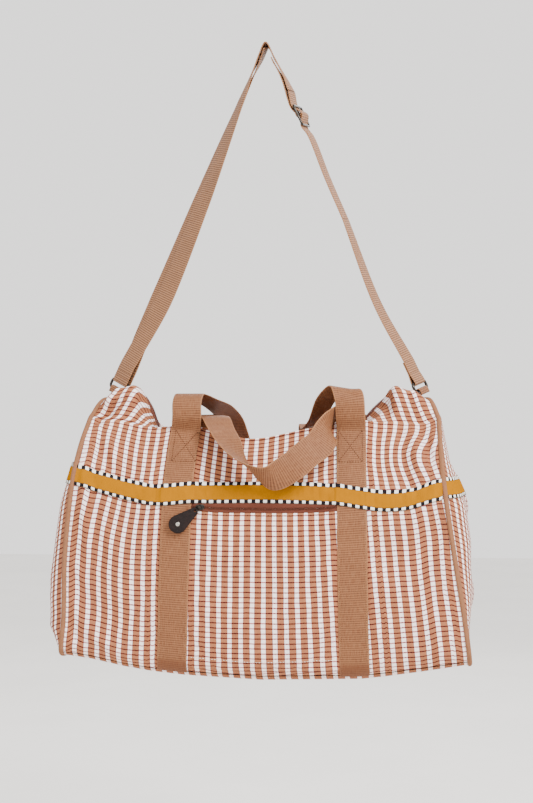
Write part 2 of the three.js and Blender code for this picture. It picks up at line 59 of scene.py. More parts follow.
# ---- the bag's section -------------------------------------------------------
# Nine keys run from the zip line over the crease and the front to the middle of the base.
END_Y = [0, 24, 52, 84, 108, 118, 119, 108, 0]
END_Z = [-469, -473, -496, -528, -574, -672, -752, -797, -800]
MID_Y = [0, 36, 64, 88, 110, 124, 121, 104, 0]
MID_Z = [-560, -546, -519, -545, -592, -690, -772, -824, -834]
HALF_WIDTH = {
    LEFT: np.array([206, 216, 229, 234.5, 241, 249.5, 251, 256.5, 255]),
    RIGHT: np.array([208, 224, 229, 230.5, 234, 248, 261, 267, 265]),
}
CREASE_SHARP = 0.14      # two more keys stand this close to the crease and sharpen it
LAST_KEY = 10
CREASE_KEY = 3
SEAM_KEY = 9
# Height of the front crease and of the bottom edge along the bag.
CREASE_LINE = [
    (-229, -496), (-196, -498), (-156, -504), (-97, -506), (-30, -520), (5, -517),
    (50, -508), (90, -501), (130, -498), (165, -498), (205, -502), (229, -496),
]
BOTTOM_LINE = [
    (-256, -797), (-220, -802), (-178, -811), (-140, -817), (-100, -821), (0, -826),
    (130, -823), (163, -819), (205, -813), (267, -803),
]
# The zip line hangs down between two ears, one at each end.
ZIP_LINE = {
    LEFT: [
        (0, -562), (60, -561), (105, -556), (128, -540), (140, -520), (147, -499),
        (153, -482), (162, -468), (169, -463), (178, -467), (190, -472), (206, -472),
    ],
    RIGHT: [
        (0, -562), (60, -559), (95, -545), (115, -517), (135, -490), (147, -477.5),
        (162, -466), (171, -462), (180, -466), (192, -472), (208, -472),
    ],
}
# Folds in the cloth: from x, z to x, z, half width, height (negative is a valley).
FRONT_FOLDS = [
    (-222, -502, -186, -470, 5, -6.0),
    (-214, -480, -196, -464, 5, 3.0),
    (-222, -512, -196, -560, 7, -3.5),
    (-206, -508, -184, -566, 7, 2.6),
    (-228, -540, -222, -660, 8, 2.4),
    (-216, -560, -205, -700, 9, -2.2),
    (-190, -600, -178, -760, 12, 1.8),
    (-160, -640, -150, -790, 12, -1.6),
    (210, -503, 222, -566, 6, -3.8),
    (196, -504, 207, -580, 8, 3.2),
    (180, -510, 190, -590, 8, -2.2),
    (214, -470, 224, -500, 4, -4.0),
    (236, -560, 186, -660, 13, 3.4),
    (244, -600, 200, -700, 11, -2.8),
    (246, -650, 190, -770, 14, 2.6),
    (228, -720, 160, -812, 13, -2.2),
    (-236, -740, -170, -812, 12, 2.2),
    (-60, -640, 60, -632, 9, 1.2),
    (-40, -800, -60, -640, 16, -1.4),
    (50, -796, 72, -650, 15, 1.2),
]
FOLD_DEPTH = 1.5
BACK_FOLDS = [
    (-222, -512, -190, -570, 8, -3.2),
    (212, -505, 190, -580, 8, -3.2),
    (-240, -600, -190, -720, 12, 2.6),
    (240, -590, 186, -700, 12, 2.6),
    (-30, -640, 20, -760, 16, 2.0),
    (60, -620, 78, -780, 14, -1.8),
    (-228, -740, -160, -812, 12, -2.0),
    (232, -740, 150, -812, 13, 2.0),
]
END_FOLDS = [
    (-60, -560, 40, -640, 10, 2.6),
    (50, -600, -50, -700, 11, -2.4),
    (-70, -700, 60, -770, 12, 2.2),
]
# Where folds push the front's stripes sideways: x, z, reach along x, reach along z, shift.
STRIPE_SHIFTS = [
    (194, -546, 44, 27, 11.0),
    (212, -512, 26, 16, -4.0),
    (-190, -585, 46, 46, -7.0),
    (-222, -540, 16, 30, -4.0),
    (226, -640, 40, 40, -4.0),
]
EAR_SHIFT = -19         # and how far the left ear's stripes lean over at the zip
U_EDGE = 0.993
V_PANEL = 0.43          # panels start here, in keys from the zip line
V_TAPE = 0.10
SEAM_GAP = 0.03
CLOTH = 1.2             # thickness of the canvas
CLOTH_WIDTH = 245       # half the cloth's width, for the stripes

# ---- webbing, band and pocket ------------------------------------------------
WEB_WIDTH = 38
WEB_THICK = 1.6
STRAP_WIDTH = 36
RIB_PITCH = 2.9
RIB_DEPTH = 0.22
LEG_TOP_X = {LEFT: -97, RIGHT: 115}
LEG_BASE_X = {LEFT: -112, RIGHT: 122}
LEG_TOP_Z = -514
OVERLAY = 0.9
BAND_Z = (-579, -605.3)
BAND_THICK = 0.8
# The band's height along the bag: x, and rise over BAND_Z.
BAND_LIFT = [
    (-241, 24), (-231, 21), (-197, 12), (-163, 3.5), (-129, -2.5), (-91, 0), (-48, 1.5), (11, 2),
    (97, -0.5), (136, -6), (165, -8), (192, -5), (230, 6), (241, 10),
]
POCKET_ZIP_Z = (-605.5, -615.5)
PIPING_RADIUS = 3.2
WIRE_RADIUS = 1.9
RING_Z = -454
RING_X = {LEFT: -199, RIGHT: 205}

# Each handle: centre and width direction of its webbing, from its left foot to its right.
REAR_HANDLE = [
    (-96.5, 74, -500, 1, 0, 0), (-95, 62, -494, 1, 0, 0),
    (-90, 40, -494, 1, 0, 0), (-80, 0, -494, 0.97, 0.1, 0), (-68, -45, -494, 0.95, 0.2, 0),
    (-60, -68, -496, 0.9, 0.35, 0), (-52, -86, -508, 0.9, 0.4, -0.1),
    (-41, -104, -523, 0.85, 0.5, -0.1), (-26, -120, -545, 0.5, 0.82, -0.2),
    (-5, -132, -563, 0.2, 0.85, -0.5), (18, -136, -570, 0.5, 0.4, -0.8),
    (43, -133, -557, 0.79, 0.05, -0.61), (63, -124, -540, 0.79, 0, -0.61),
    (78, -113, -528, 0.79, 0.05, -0.61), (86, -100, -513, 0.65, 0.3, -0.68),
    (89, -85, -503, 0.1, 0.7, -0.7), (95, -62, -497, -0.1, 0.75, -0.65),
    (104, -30, -497, -0.4, 0.5, -0.75), (110, 10, -499, -0.7, 0.3, -0.6),
    (114, 46, -497, -0.95, 0.1, -0.2), (115, 64, -496, -1, 0, 0), (115, 74, -502, -1, 0, 0),
]
FRONT_HANDLE = [
    (-97, -80, -494, 1, 0, 0), (-97, -79, -477, 1, 0, 0),
    (-96, -64, -466, 1, 0, 0), (-94, -38, -466, 1, 0, 0), (-86, 4, -472, 1, 0.05, 0),
    (-70, 50, -482, 1, 0, 0), (-58, 84, -499, 0.95, -0.2, 0), (-50, 102, -520, 0.85, -0.45, 0),
    (-42, 113, -538, 0.7, -0.65, -0.1), (-26, 125, -560, 0.4, -0.85, -0.25),
    (0, 132, -572, 0, -0.95, -0.3), (26, 125, -562, -0.4, -0.85, -0.2),
    (44, 112, -541, -0.7, -0.65, 0), (52, 102, -526, -0.72, -0.63, 0),
    (55, 88, -513, -0.75, -0.6, 0), (58, 62, -506, -0.7, -0.7, 0),
    (62, 30, -506, -0.55, -0.8, -0.1), (70, -2, -495, -0.5, -0.8, -0.1),
    (83, -28, -471, -0.65, -0.7, 0), (101, -52, -458, -0.9, -0.35, 0.15),
    (109, -70, -459, -1, 0, 0.15), (114, -80, -470, -1, 0, 0.05), (115.5, -80, -492, -1, 0, 0),
]


# ---- small geometry helpers ----------------------------------------------------
def sharpened(keys):
    """Adds the two keys beside the crease to a table of nine."""
    keys = np.asarray(keys, float)
    above = keys[2] + (keys[1] - keys[2]) * CREASE_SHARP
    below = keys[2] + (keys[3] - keys[2]) * CREASE_SHARP
    return np.concatenate([keys[:2], above[None], keys[2:3], below[None], keys[3:]])


def smooth(x, low, high):
    """A soft step from 0 at low to 1 at high."""
    t = np.clip((np.asarray(x, float) - low) / (high - low), 0, 1)
    return t * t * (3 - 2 * t)


def unit(v):
    """Vectors at length 1."""
    return v / np.maximum(np.linalg.norm(v, axis=-1, keepdims=True), 1e-9)


def run_along(points):
    """The length from the first point of a polyline to each of its points."""
    return np.concatenate([[0], np.cumsum(np.linalg.norm(np.diff(points, axis=0), axis=1))])


def at_run(at, run, values):
    """The rows of values at lengths `at`, where they are known at lengths `run`."""
    return np.stack([np.interp(at, run, values[:, k]) for k in range(values.shape[1])], 1)


def uv_of(across, along):
    """Cloth coordinates in metres from lengths in millimetres."""
    return np.stack(np.broadcast_arrays(across, along), -1) * MM


def spline_at(keys, t):
    """Centripetal spline through keys (K, N, 3) at one parameter for each of N columns."""
    padded = np.concatenate([2 * keys[:1] - keys[1:2], keys, 2 * keys[-1:] - keys[-2:-1]])
    i = np.clip(t.astype(int), 0, len(keys) - 2)
    w = (t - i)[:, None]
    column = np.arange(len(t))
    p0, p1, p2, p3 = (padded[i + k, column] for k in range(4))

    def gap(a, b):
        return np.sqrt(np.maximum(np.linalg.norm(b - a, axis=1, keepdims=True), 1e-6))

    d0, d1, d2 = gap(p0, p1), gap(p1, p2), gap(p2, p3)
    m1 = ((p1 - p0) / d0 - (p2 - p0) / (d0 + d1) + (p2 - p1) / d1) * d1
    m2 = ((p2 - p1) / d1 - (p3 - p1) / (d1 + d2) + (p3 - p2) / d2) * d1
    cubic = 2 * p1 - 2 * p2 + m1 + m2
    square = -3 * p1 + 3 * p2 - 2 * m1 - m2
    return cubic * w**3 + square * w**2 + m1 * w + p1


def on_curve(keys, t):
    """The spline through one column of keys (K, 3) at parameters t."""
    return spline_at(np.repeat(keys[:, None], len(t), 1), t)


def curve(points, count, loop=False):
    """A smooth curve through points, with `count` evenly spaced samples."""
    points = np.asarray(points, float)
    first, last = 0, len(points) - 1
    if loop:
        points = np.concatenate([points[-2:], points, points[:3]])
        first, last = 2, len(points) - 3
    dense = on_curve(points, np.linspace(first, last, 40 * len(points)))
    return even(dense, count + 1 if loop else count)[:count]


def even(dense, count):
    """Resamples a polyline to evenly spaced points."""
    run = run_along(dense)
    return at_run(np.linspace(0, run[-1], count), run, dense)


def add_object(name, data):
    """A new object in the scene, for a mesh, a light or a camera."""
    obj = bpy.data.objects.new(name, data)
    bpy.context.scene.collection.objects.link(obj)
    return obj


def make(name, verts, faces, uv=None, tone=None):
    """A closed mesh object from points in millimetres, its faces turned outwards."""
    verts = np.asarray(verts, float).reshape(-1, 3) * MM
    mesh = bpy.data.meshes.new(name)
    mesh.from_pydata(verts.tolist(), [], faces)
    mesh.calc_loop_triangles()
    corners = np.empty(3 * len(mesh.loop_triangles), int)
    mesh.loop_triangles.foreach_get("vertices", corners)
    a, b, c = (verts[corners[k::3]] for k in range(3))
    if np.sum(a * np.cross(b, c)) < 0:
        mesh.flip_normals()
    if uv is not None:
        layer = mesh.uv_layers.new(name="cloth")
        corner = np.empty(len(mesh.loops), int)
        mesh.loops.foreach_get("vertex_index", corner)
        layer.data.foreach_set("uv", np.asarray(uv, float)[corner].ravel())
    # per-point painted shade, which the webbing material reads to draw the webbing darker
    if tone is not None:
        layer = mesh.attributes.new("tone", "FLOAT", "POINT")
        layer.data.foreach_set("value", np.asarray(tone, float))
    mesh.polygons.foreach_set("use_smooth", [True] * len(mesh.polygons))
    mesh.update()
    return add_object(name, mesh)


def ring_faces(rings, sides, start=0, loop=False):
    """Quads between rings of points, with flat caps unless the rings close on themselves."""
    faces = []
    for i in range(rings if loop else rings - 1):
        a = start + i * sides
        b = start + ((i + 1) % rings) * sides
        for j in range(sides):
            k = (j + 1) % sides
            faces.append((a + j, a + k, b + k, b + j))
    if not loop:
        end = start + (rings - 1) * sides
        faces.append(tuple(range(start + sides - 1, start - 1, -1)))
        faces.append(tuple(range(end, end + sides)))
    return faces


def normals_of(grid):
    """Unit normals of a grid of points (R, C, 3)."""
    return unit(np.cross(np.gradient(grid, axis=1), np.gradient(grid, axis=0)))


def outward(grid, axis, sign):
    """Unit normals of a grid, turned until they point along the axis with this sign."""
    normal = normals_of(grid)
    return normal * np.where(normal[..., axis : axis + 1] * sign < 0, -1, 1)


def quads(rows, cols):
    """The four corners of every cell of a grid."""
    return [(a, a + 1, a + 1 + cols, a + cols)
            for i in range(rows - 1) for a in range(i * cols, i * cols + cols - 1)]


def slab(name, outer, inner, uv):
    """A closed sheet between two grids of points (R, C, 3)."""
    rows, cols = outer.shape[:2]
    count = rows * cols
    verts = np.concatenate([outer.reshape(-1, 3), inner.reshape(-1, 3)])
    faces = []
    for a, b, c, d in quads(rows, cols):
        faces.append((a, b, c, d))
        faces.append((a + count, d + count, c + count, b + count))
    rim = list(range(cols)) + [i * cols + cols - 1 for i in range(1, rows)]
    rim += [(rows - 1) * cols + j for j in range(cols - 2, -1, -1)]
    rim += [i * cols for i in range(rows - 2, 0, -1)]
    for n, a in enumerate(rim):
        b = rim[(n + 1) % len(rim)]
        faces.append((b, a, a + count, b + count))
    return make(name, verts, faces, np.concatenate([uv.reshape(-1, 2)] * 2))


def beads(name, count, profile, sides, phase, point):
    """Small closed beads: rings of point(i, t, r, angle) at each (t, r) of the profile."""
    verts, faces = [], []
    for i in range(count):
        start = len(verts)
        for t, r in profile:
            for j in range(sides):
                verts.append(point(i, t, r, 2 * math.pi * (j + phase) / sides))
        faces += ring_faces(len(profile), sides, start)
    return make(name, verts, faces)


def tube(name, points, radius, sides, loop=False):
    """A round wire along evenly spaced points."""
    points = np.asarray(points, float)
    count = len(points)
    if loop:
        along = unit(np.roll(points, -1, 0) - np.roll(points, 1, 0))
    else:
        along = unit(np.gradient(points, axis=0))
    first = np.cross(along[0], [0.3, 0.9, 0.2])
    frames = [unit(first)]
    for i in range(1, count):
        previous = frames[-1]
        frames.append(unit(previous - along[i] * np.dot(previous, along[i])))
    n = np.array(frames)
    b = np.cross(along, n)
    if loop:
        drift = math.atan2(np.dot(frames[-1], b[0]), np.dot(frames[-1], n[0]))
        turn = -drift * np.arange(count)[:, None] / count
        n, b = n * np.cos(turn) + b * np.sin(turn), b * np.cos(turn) - n * np.sin(turn)
    angle = np.linspace(0, 2 * math.pi, sides, endpoint=False)
    ring = n[:, None] * np.cos(angle)[:, None] + b[:, None] * np.sin(angle)[:, None]
    verts = points[:, None] + ring * radius
    uv = uv_of(angle[None] * radius, run_along(points)[:, None])
    return make(name, verts, ring_faces(count, sides, loop=loop), uv.reshape(-1, 2))


def place(obj, material, body, slot, *nodes):
    """Gives a piece its material and body, and the CAD nodes that it stands for; slot is not used."""
    obj.data.materials.append(material)
    if body:
        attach(obj, body)
    if nodes:
        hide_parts(*nodes)
    return obj


# ---- the body surface --------------------------------------------------------------
# Each half of the zip line, evenly spaced.
ARC_COUNT = 200
ARC = {side: curve([(x, 0, z) for x, z in line], ARC_COUNT) for side, line in ZIP_LINE.items()}


def zip_point(u):
    """The zip line at u, by its own length from the middle."""
    at = np.clip(np.abs(u), 0, 1) * (ARC_COUNT - 1)
    out = np.zeros((len(u), 3))
    for side, here in ((LEFT, u <= 0), (RIGHT, u > 0)):
        out[here] = at_run(at[here], np.arange(ARC_COUNT), ARC[side]) * [side, 1, 1]
    return out


def ear_ridge(u):
    """How the front of each ear puffs up before it turns down to the zip."""
    share = smooth(np.abs(u), 0.72, 0.83) * (1 - smooth(np.abs(u), 0.93, 1))
    inward, forward, up = -6 * np.sign(u), -15 * np.ones(len(u)), 17 * np.ones(len(u))
    return share[:, None] * np.stack([inward, forward, up], 1)


def body_keys(face, u):
    """The section's keys (K, N, 3) at each u, from the zip line to the middle of the base."""
    a = np.abs(u)
    ear = smooth(a, 0.5, 1)
    belly = a**2.4
    keys = np.empty((len(END_Z), len(u), 3))
    for k in range(len(END_Z)):
        share = ear + (belly - ear) * smooth(k / (len(END_Z) - 1), 0.2, 0.55)
        half = np.where(u > 0, HALF_WIDTH[RIGHT][k], HALF_WIDTH[LEFT][k])
        keys[k, :, 0] = u * half
        keys[k, :, 1] = face * (MID_Y[k] + (END_Y[k] - MID_Y[k]) * share)
        keys[k, :, 2] = MID_Z[k] + (END_Z[k] - MID_Z[k]) * share
    keys[0] = zip_point(u)
    keys[2, :, 2] = np.interp(keys[2, :, 0], *zip(*CREASE_LINE))
    low = np.interp(keys[7, :, 0], *zip(*BOTTOM_LINE)) - keys[7, :, 2]
    keys[7, :, 2] += low
    keys[8, :, 2] += low
    keys[6, :, 2] += 0.4 * low
    keys[1] = (keys[0] + keys[2]) / 2
    keys[1, :, 2] += -6.5 + 17 * smooth(a, 0.55, 0.85)
    if face == FRONT:
        keys[1] += ear_ridge(u)
    else:
        keys[2, :, 2] -= 4 * (1 - ear)
    return sharpened(keys)


def fold_height(a, b, folds):
    """Height of the folds at points (a, b) of a panel."""
    height = np.zeros_like(a)
    for x0, z0, x1, z1, width, depth in folds:
        dx, dz = x1 - x0, z1 - z0
        t = np.clip(((a - x0) * dx + (b - z0) * dz) / (dx * dx + dz * dz), 0, 1)
        away = np.hypot(a - x0 - t * dx, b - z0 - t * dz)
        height += depth * np.exp(-((away / width) ** 2)) * (0.35 + 0.65 * np.sin(math.pi * t))
    ripple = np.sin(a / 31 + b / 77) * np.sin(b / 43 - a / 90 + 1.3)
    return FOLD_DEPTH * height + 0.9 * ripple


# The canvas panels settle under a cloth simulation on a coarse grid.
SIM_U = np.linspace(-1, 1, 81)
SIM_V = np.linspace(V_PANEL, SEAM_KEY, 61)
SIM_FRAMES = 16
SIM_SPARE = -0.012       # the cloth is cut this much larger than the space it fills
SAG_LIMIT = 4.5
SAG = {FRONT: None, BACK: None}


def sag_at(face, u, v):
    """The simulated cloth's displacement at (u, v)."""
    grid = SAG[face]
    if grid is None:
        return np.zeros((len(u), 3))
    x = np.clip((u + 1) / 2, 0, 1) * (len(SIM_U) - 1)
    y = np.clip((v - SIM_V[0]) / (SIM_V[-1] - SIM_V[0]), 0, 1) * (len(SIM_V) - 1)
    i = np.minimum(x.astype(int), len(SIM_U) - 2)
    j = np.minimum(y.astype(int), len(SIM_V) - 2)
    fx, fy = (x - i)[:, None], (y - j)[:, None]
    top = grid[j, i] * (1 - fx) + grid[j, i + 1] * fx
    low = grid[j + 1, i] * (1 - fx) + grid[j + 1, i + 1] * fx
    return top * (1 - fy) + low * fy


def plain_body(face, u, v):
    """Points of the body surface before folds and sag."""
    return spline_at(body_keys(face, u), np.clip(v, 0, LAST_KEY))


def body(face, u, v):
    """Points of the bag's front or back at u across (-1 to 1) and v down (in keys)."""
    shape = np.shape(u)
    u = np.ravel(u)
    v = np.ravel(v)
    point = plain_body(face, u, v)
    folds = FRONT_FOLDS if face == FRONT else BACK_FOLDS
    quiet = 1 - smooth(np.abs(u), 0.94, 0.99)
    quiet = quiet * smooth(v, 0.35, 0.9) * (1 - smooth(v, 8.4, 9))
    height = fold_height(point[:, 0], point[:, 2], folds) * quiet
    d = 0.01
    across = plain_body(face, u + d, v) - plain_body(face, u - d, v)
    down = plain_body(face, u, v + d) - plain_body(face, u, v - d)
    point += unit(np.cross(across, down)) * (face * height)[:, None]
    point += sag_at(face, u, v)
    return point.reshape(*shape, 3)


def body_normal(face, u, v):
    """Unit normals of the folded body surface, pointing outwards."""
    d = 0.006
    du = body(face, u + d, v) - body(face, u - d, v)
    dv = body(face, u, v + d) - body(face, u, v - d)
    return unit(np.cross(du, dv)) * face


def u_of(x, v):
    """The u at which the body has x, for arrays of x and v."""
    key = np.arange(LAST_KEY + 1)
    left, right = (np.interp(v, key, sharpened(HALF_WIDTH[side])) for side in (LEFT, RIGHT))
    return x / np.where(x > 0, right, left)


def v_of(face, x, z):
    """The v at which the body has height z under x, below the crease."""
    x = np.asarray(x, float)
    low = np.full(x.shape, float(CREASE_KEY))
    high = np.full(x.shape, float(LAST_KEY))
    for _ in range(26):
        v = (low + high) / 2
        above = plain_body(face, u_of(x, v), v)[:, 2] > z
        low = np.where(above, v, low)
        high = np.where(above, high, v)
    return low


BASE_DROP = 2.5         # how far the foot of an end panel hangs, either side of its middle
# How far the end panels belly out: z, and distance from the seam.
END_BULGE = {
    LEFT: [(-460, 0), (-500, 5), (-553, 12), (-607, 24), (-687, 31), (-728, 34), (-768, 31), (-797, 12)],
    RIGHT: [(-460, 0), (-500, 5), (-553, 13), (-607, 26), (-660, 26), (-728, 16), (-768, 6), (-797, 2)],
}


def end_surface(side, s, v):
    """Points of an end panel at s across (front -1 to back 1) and v down (in keys)."""
    shape = np.shape(s)
    s = np.ravel(s)
    v = np.ravel(v)
    corner = np.abs(body_keys(FRONT, np.array([float(side)]))) * [1, 1, -1]
    edge = on_curve(corner[:, 0], v)
    table = END_BULGE[side]
    bulge = np.interp(-edge[:, 2], [-q[0] for q in table], [q[1] for q in table])
    half_y = np.maximum(edge[:, 1] - 2.0, 3)
    point = np.stack([side * (edge[:, 0] + bulge * (1 - s**4)), s * half_y, edge[:, 2]], 1)
    point[:, 2] -= BASE_DROP * smooth(v, SEAM_KEY - 0.4, SEAM_KEY) * 4 * s**2 * (1 - s**2)
    quiet = 1 - smooth(np.abs(s), 0.75, 1)
    point[:, 0] += side * quiet * fold_height(point[:, 1], point[:, 2], END_FOLDS)
    return point.reshape(*shape, 3)


# ---- materials -----------------------------------------------------------------------
def linear(r, g, b):
    """A screen colour (0-255) as linear RGBA."""
    def one(c):
        c = c / 255
        return c / 12.92 if c <= 0.04045 else ((c + 0.055) / 1.055) ** 2.4
    return (one(r), one(g), one(b), 1.0)


class Nodes:
    """Builds one procedural material."""

    def __init__(self, name, roughness=0.8, metallic=0.0, specular=0.2):
        self.material = bpy.data.materials.new(name)
        self.material.use_nodes = True
        self.tree = self.material.node_tree
        self.shader = self.tree.nodes["Principled BSDF"]
        self.shader.inputs["Roughness"].default_value = roughness
        self.shader.inputs["Metallic"].default_value = metallic
        self.shader.inputs["Specular IOR Level"].default_value = specular

    def put(self, socket, value):
        if isinstance(value, bpy.types.NodeSocket):
            self.tree.links.new(value, socket)
        elif value is not None:
            socket.default_value = value

    def add(self, kind, *inputs, **settings):
        node = self.tree.nodes.new("ShaderNode" + kind)
        for key, value in settings.items():
            setattr(node, key, value)
        for i, value in enumerate(inputs):
            self.put(node.inputs[i], value)
        return node

    def math(self, operation, a, b=None):
        return self.add("Math", a, b, operation=operation).outputs[0]

    def mix(self, factor, a, b, blend="MIX"):
        node = self.add("Mix", factor, data_type="RGBA", blend_type=blend)
        self.put(node.inputs[6], a)
        self.put(node.inputs[7], b)
        return node.outputs[2]

    def cloth(self):
        """The cloth's own coordinates in metres, apart and as one vector."""
        uv = self.add("UVMap", uv_map="cloth").outputs[0]
        u, v, _ = self.add("SeparateXYZ", uv).outputs
        return u, v, self.place_at(u, v)

    def place_at(self, across, along):
        return self.add("CombineXYZ", across, along, 0.0).outputs[0]

    def here(self):
        return self.add("TexCoord").outputs["Object"]

    def noise(self, vector, scale, detail=3.0, roughness=0.6):
        return self.add("TexNoise", vector, None, scale, detail, roughness).outputs["Fac"]

    # the per-point painted shade stored on the mesh
    def tone(self):
        return self.add("Attribute", attribute_name="tone").outputs["Fac"]

    def band(self, value, low, high, soft):
        """1 where value lies between low and high, with soft edges."""
        up = self.ramp(value, low - soft, low + soft)
        down = self.ramp(value, high + soft, high - soft)
        return self.math("MULTIPLY", up, down)

    def ramp(self, value, low, high, to_low=0.0, to_high=1.0):
        return self.add("MapRange", value, low, high, to_low, to_high, clamp=True).outputs[0]

    def triangle(self, value, pitch, phase=0.0):
        """Distance from the nearest repeat of a line, in the value's own unit."""
        turns = self.math("ADD", self.math("DIVIDE", value, pitch), phase)
        near = self.math("ABSOLUTE", self.math("SUBTRACT", self.math("FRACT", turns), 0.5))
        return self.math("MULTIPLY", near, pitch)

    def wave(self, value, pitch):
        return self.math("SINE", self.math("MULTIPLY", value, 2 * math.pi / pitch))

    def vary(self, colour, vector, scale, low, high):
        """Multiplies a colour by slow noise between two factors."""
        level = self.ramp(self.noise(vector, scale), 0.3, 0.7, low, high)
        grey = self.add("CombineColor", level, level, level).outputs[0]
        return self.mix(1.0, colour, grey, "MULTIPLY")

    def finish(self, colour, height=None, distance=0.0003, strength=0.6, roughness=None):
        self.put(self.shader.inputs["Base Color"], colour)
        if roughness is not None:
            self.put(self.shader.inputs["Roughness"], roughness)
        if height is not None:
            bump = self.add("Bump", strength, distance)
            self.put(bump.inputs["Height"], height)
            self.put(self.shader.inputs["Normal"], bump.outputs[0])
        return self.material


STRIPE_PITCH = 0.0138
STRIPE_HALF = 0.0041
STRIPE_PHASE = 0.529    # shifts the stripes across the panels
WEFT_PITCH = 0.0065
WEFT_HALF = 0.00078
DOT_FROM = 0.0061       # dots of dark thread lie in the middle of some pale stripes
DOT_SHARE = 0.62        # and this share of the stripes has none
MUSTARD = (0.0040, 0.0212)      # the plain cloth between the band's two rows of checks
CHECK_PITCH = 0.0099
EDGE_LINES = ((0.0204, 0.0212), (0.0040, 0.0046))
LOW_LINE = 0.0243
TWILL_PITCH = 0.0016


def canvas_material():
    n = Nodes("striped_canvas", 0.9, specular=0.08)
    across, along, spot = n.cloth()
    wander = n.math("MULTIPLY", n.math("SUBTRACT", n.noise(spot, 55), 0.5), 0.0011)
    across_w = n.math("ADD", across, wander)
    d = n.triangle(across_w, STRIPE_PITCH, STRIPE_PHASE)
    e = n.triangle(n.math("ADD", along, wander), WEFT_PITCH)
    white = n.ramp(d, STRIPE_HALF - 0.0001, STRIPE_HALF + 0.0001)
    weft = n.ramp(e, WEFT_HALF + 0.0002, WEFT_HALF - 0.0002)
    edge = n.band(d, STRIPE_HALF - 0.00035, STRIPE_HALF + 0.00025, 0.0002)
    ground = n.vary(linear(156, 99, 69), spot, 140, 0.86, 1.12)
    pale = n.vary(linear(252, 240, 237), spot, 120, 0.97, 1.0)
    colour = n.mix(white, ground, pale)
    colour = n.mix(n.math("MULTIPLY", edge, 0.75), colour, linear(112, 52, 42))
    node = n.math("MAXIMUM", n.ramp(d, 0.0011, 0.0007), n.band(d, 0.0029, 0.0046, 0.0002))
    thread = n.mix(node, linear(82, 30, 27), linear(50, 14, 18))
    thread = n.mix(white, thread, linear(158, 88, 92))
    colour = n.mix(weft, colour, thread)
    stripe = n.math("ADD", n.math("DIVIDE", across_w, STRIPE_PITCH), STRIPE_PHASE + 0.5)
    index = n.math("FLOOR", stripe)
    chosen = n.add("TexWhiteNoise", noise_dimensions="1D")
    n.put(chosen.inputs["W"], index)
    some = n.math("GREATER_THAN", chosen.outputs[0], DOT_SHARE)
    dot = n.math("MULTIPLY", n.ramp(e, 0.0009, 0.0006), n.math("GREATER_THAN", d, DOT_FROM))
    colour = n.mix(n.math("MULTIPLY", dot, some), colour, linear(92, 30, 40))
    colour = n.vary(colour, spot, 22, 0.94, 1.05)
    yarn = n.math("MULTIPLY", n.wave(across, 0.0011), n.wave(along, 0.0011))
    relief = n.math("ADD", n.math("MULTIPLY", weft, 0.9), n.math("MULTIPLY", yarn, 0.35))
    return n.finish(colour, relief, 0.00035, 0.7)


def webbing_material(name, ground, valley):
    n = Nodes(name, 0.6, specular=0.2)
    across, along, spot = n.cloth()
    # painted shade: the rib valleys take the darker valley colour, standing in for shade between the
    # ribs
    rib = n.ramp(n.wave(n.math("ADD", along, 0.0007), RIB_PITCH * MM), -0.9, 0.8)
    colour = n.mix(rib, valley, ground)
    streak = n.noise(n.place_at(n.math("MULTIPLY", across, 9.0), along), 110)
    colour = n.mix(n.ramp(streak, 0.35, 0.75, 0, 0.35), colour, linear(164, 118, 82))
    # painted highlight: both edges of the webbing are drawn lighter, standing in for light on its
    # rounded edges (the mask called centre covers the edges)
    centre = n.ramp(n.math("ABSOLUTE", across), 0.0172, 0.0186)
    colour = n.mix(n.math("MULTIPLY", centre, 0.5), colour, linear(158, 112, 76))
    # painted shade: the webbing is darkened by the per-point shade, at the feet folded under at the base
    # seam
    colour = n.mix(n.ramp(n.tone(), 0, 1, 0, 0.62), colour, linear(92, 48, 24))
    colour = n.vary(colour, spot, 30, 0.93, 1.06)
    grain = n.wave(across, 0.0013)
    return n.finish(colour, n.math("MULTIPLY", grain, rib), 0.0002, 0.5)


def band_material():
    """Along x, across y from its upper edge: checks, mustard cloth, checks."""
    n = Nodes("woven_band", 0.8, specular=0.0)
    along, across, spot = n.cloth()
    mustard = n.vary(linear(158, 101, 0), spot, 80, 0.93, 1.05)
    twill = n.ramp(n.wave(along, TWILL_PITCH), -1, 1, 0, 0.16)
    mustard = n.mix(twill, mustard, linear(112, 62, 0))
    check = n.math("GREATER_THAN", n.wave(along, CHECK_PITCH), 0.0)
    pattern = n.mix(check, linear(240, 236, 226), linear(28, 26, 30))
    inside = n.band(across, *MUSTARD, 0.0001)
    colour = n.mix(inside, pattern, mustard)
    line = n.math("GREATER_THAN", across, LOW_LINE)
    for low, high in EDGE_LINES:
        line = n.math("MAXIMUM", line, n.band(across, low, high, 0.0001))
    colour = n.mix(n.math("MULTIPLY", line, 0.75), colour, linear(48, 40, 34))
    relief = n.math("ADD", n.math("MULTIPLY", inside, n.wave(along, TWILL_PITCH)), check)
    return n.finish(colour, relief, 0.0002, 0.5)


def twill_material(name, ground, thread, pitch=0.0012):
    n = Nodes(name, 0.8, specular=0.12)
    across, along, spot = n.cloth()
    slant = n.wave(n.math("ADD", across, along), pitch)
    colour = n.mix(n.ramp(slant, -1, 1, 0, 0.6), ground, thread)
    colour = n.vary(colour, spot, 60, 0.9, 1.08)
    return n.finish(colour, slant, 0.0002, 0.5)


def solid_material(name, colour, accent, roughness, metallic=0.0, scale=300, relief=0.0001):
    """A finish with fine mottling, used for metal, thread, plastic and lining."""
    n = Nodes(name, roughness, metallic)
    spot = n.here()
    mottle = n.noise(spot, scale, 4)
    shade = n.mix(n.ramp(mottle, 0.4, 0.65), colour, accent)
    shine = n.ramp(n.noise(spot, scale / 4), 0.3, 0.7, max(roughness - 0.08, 0.05), roughness + 0.1)
    return n.finish(shade, mottle, relief, 0.4, shine)


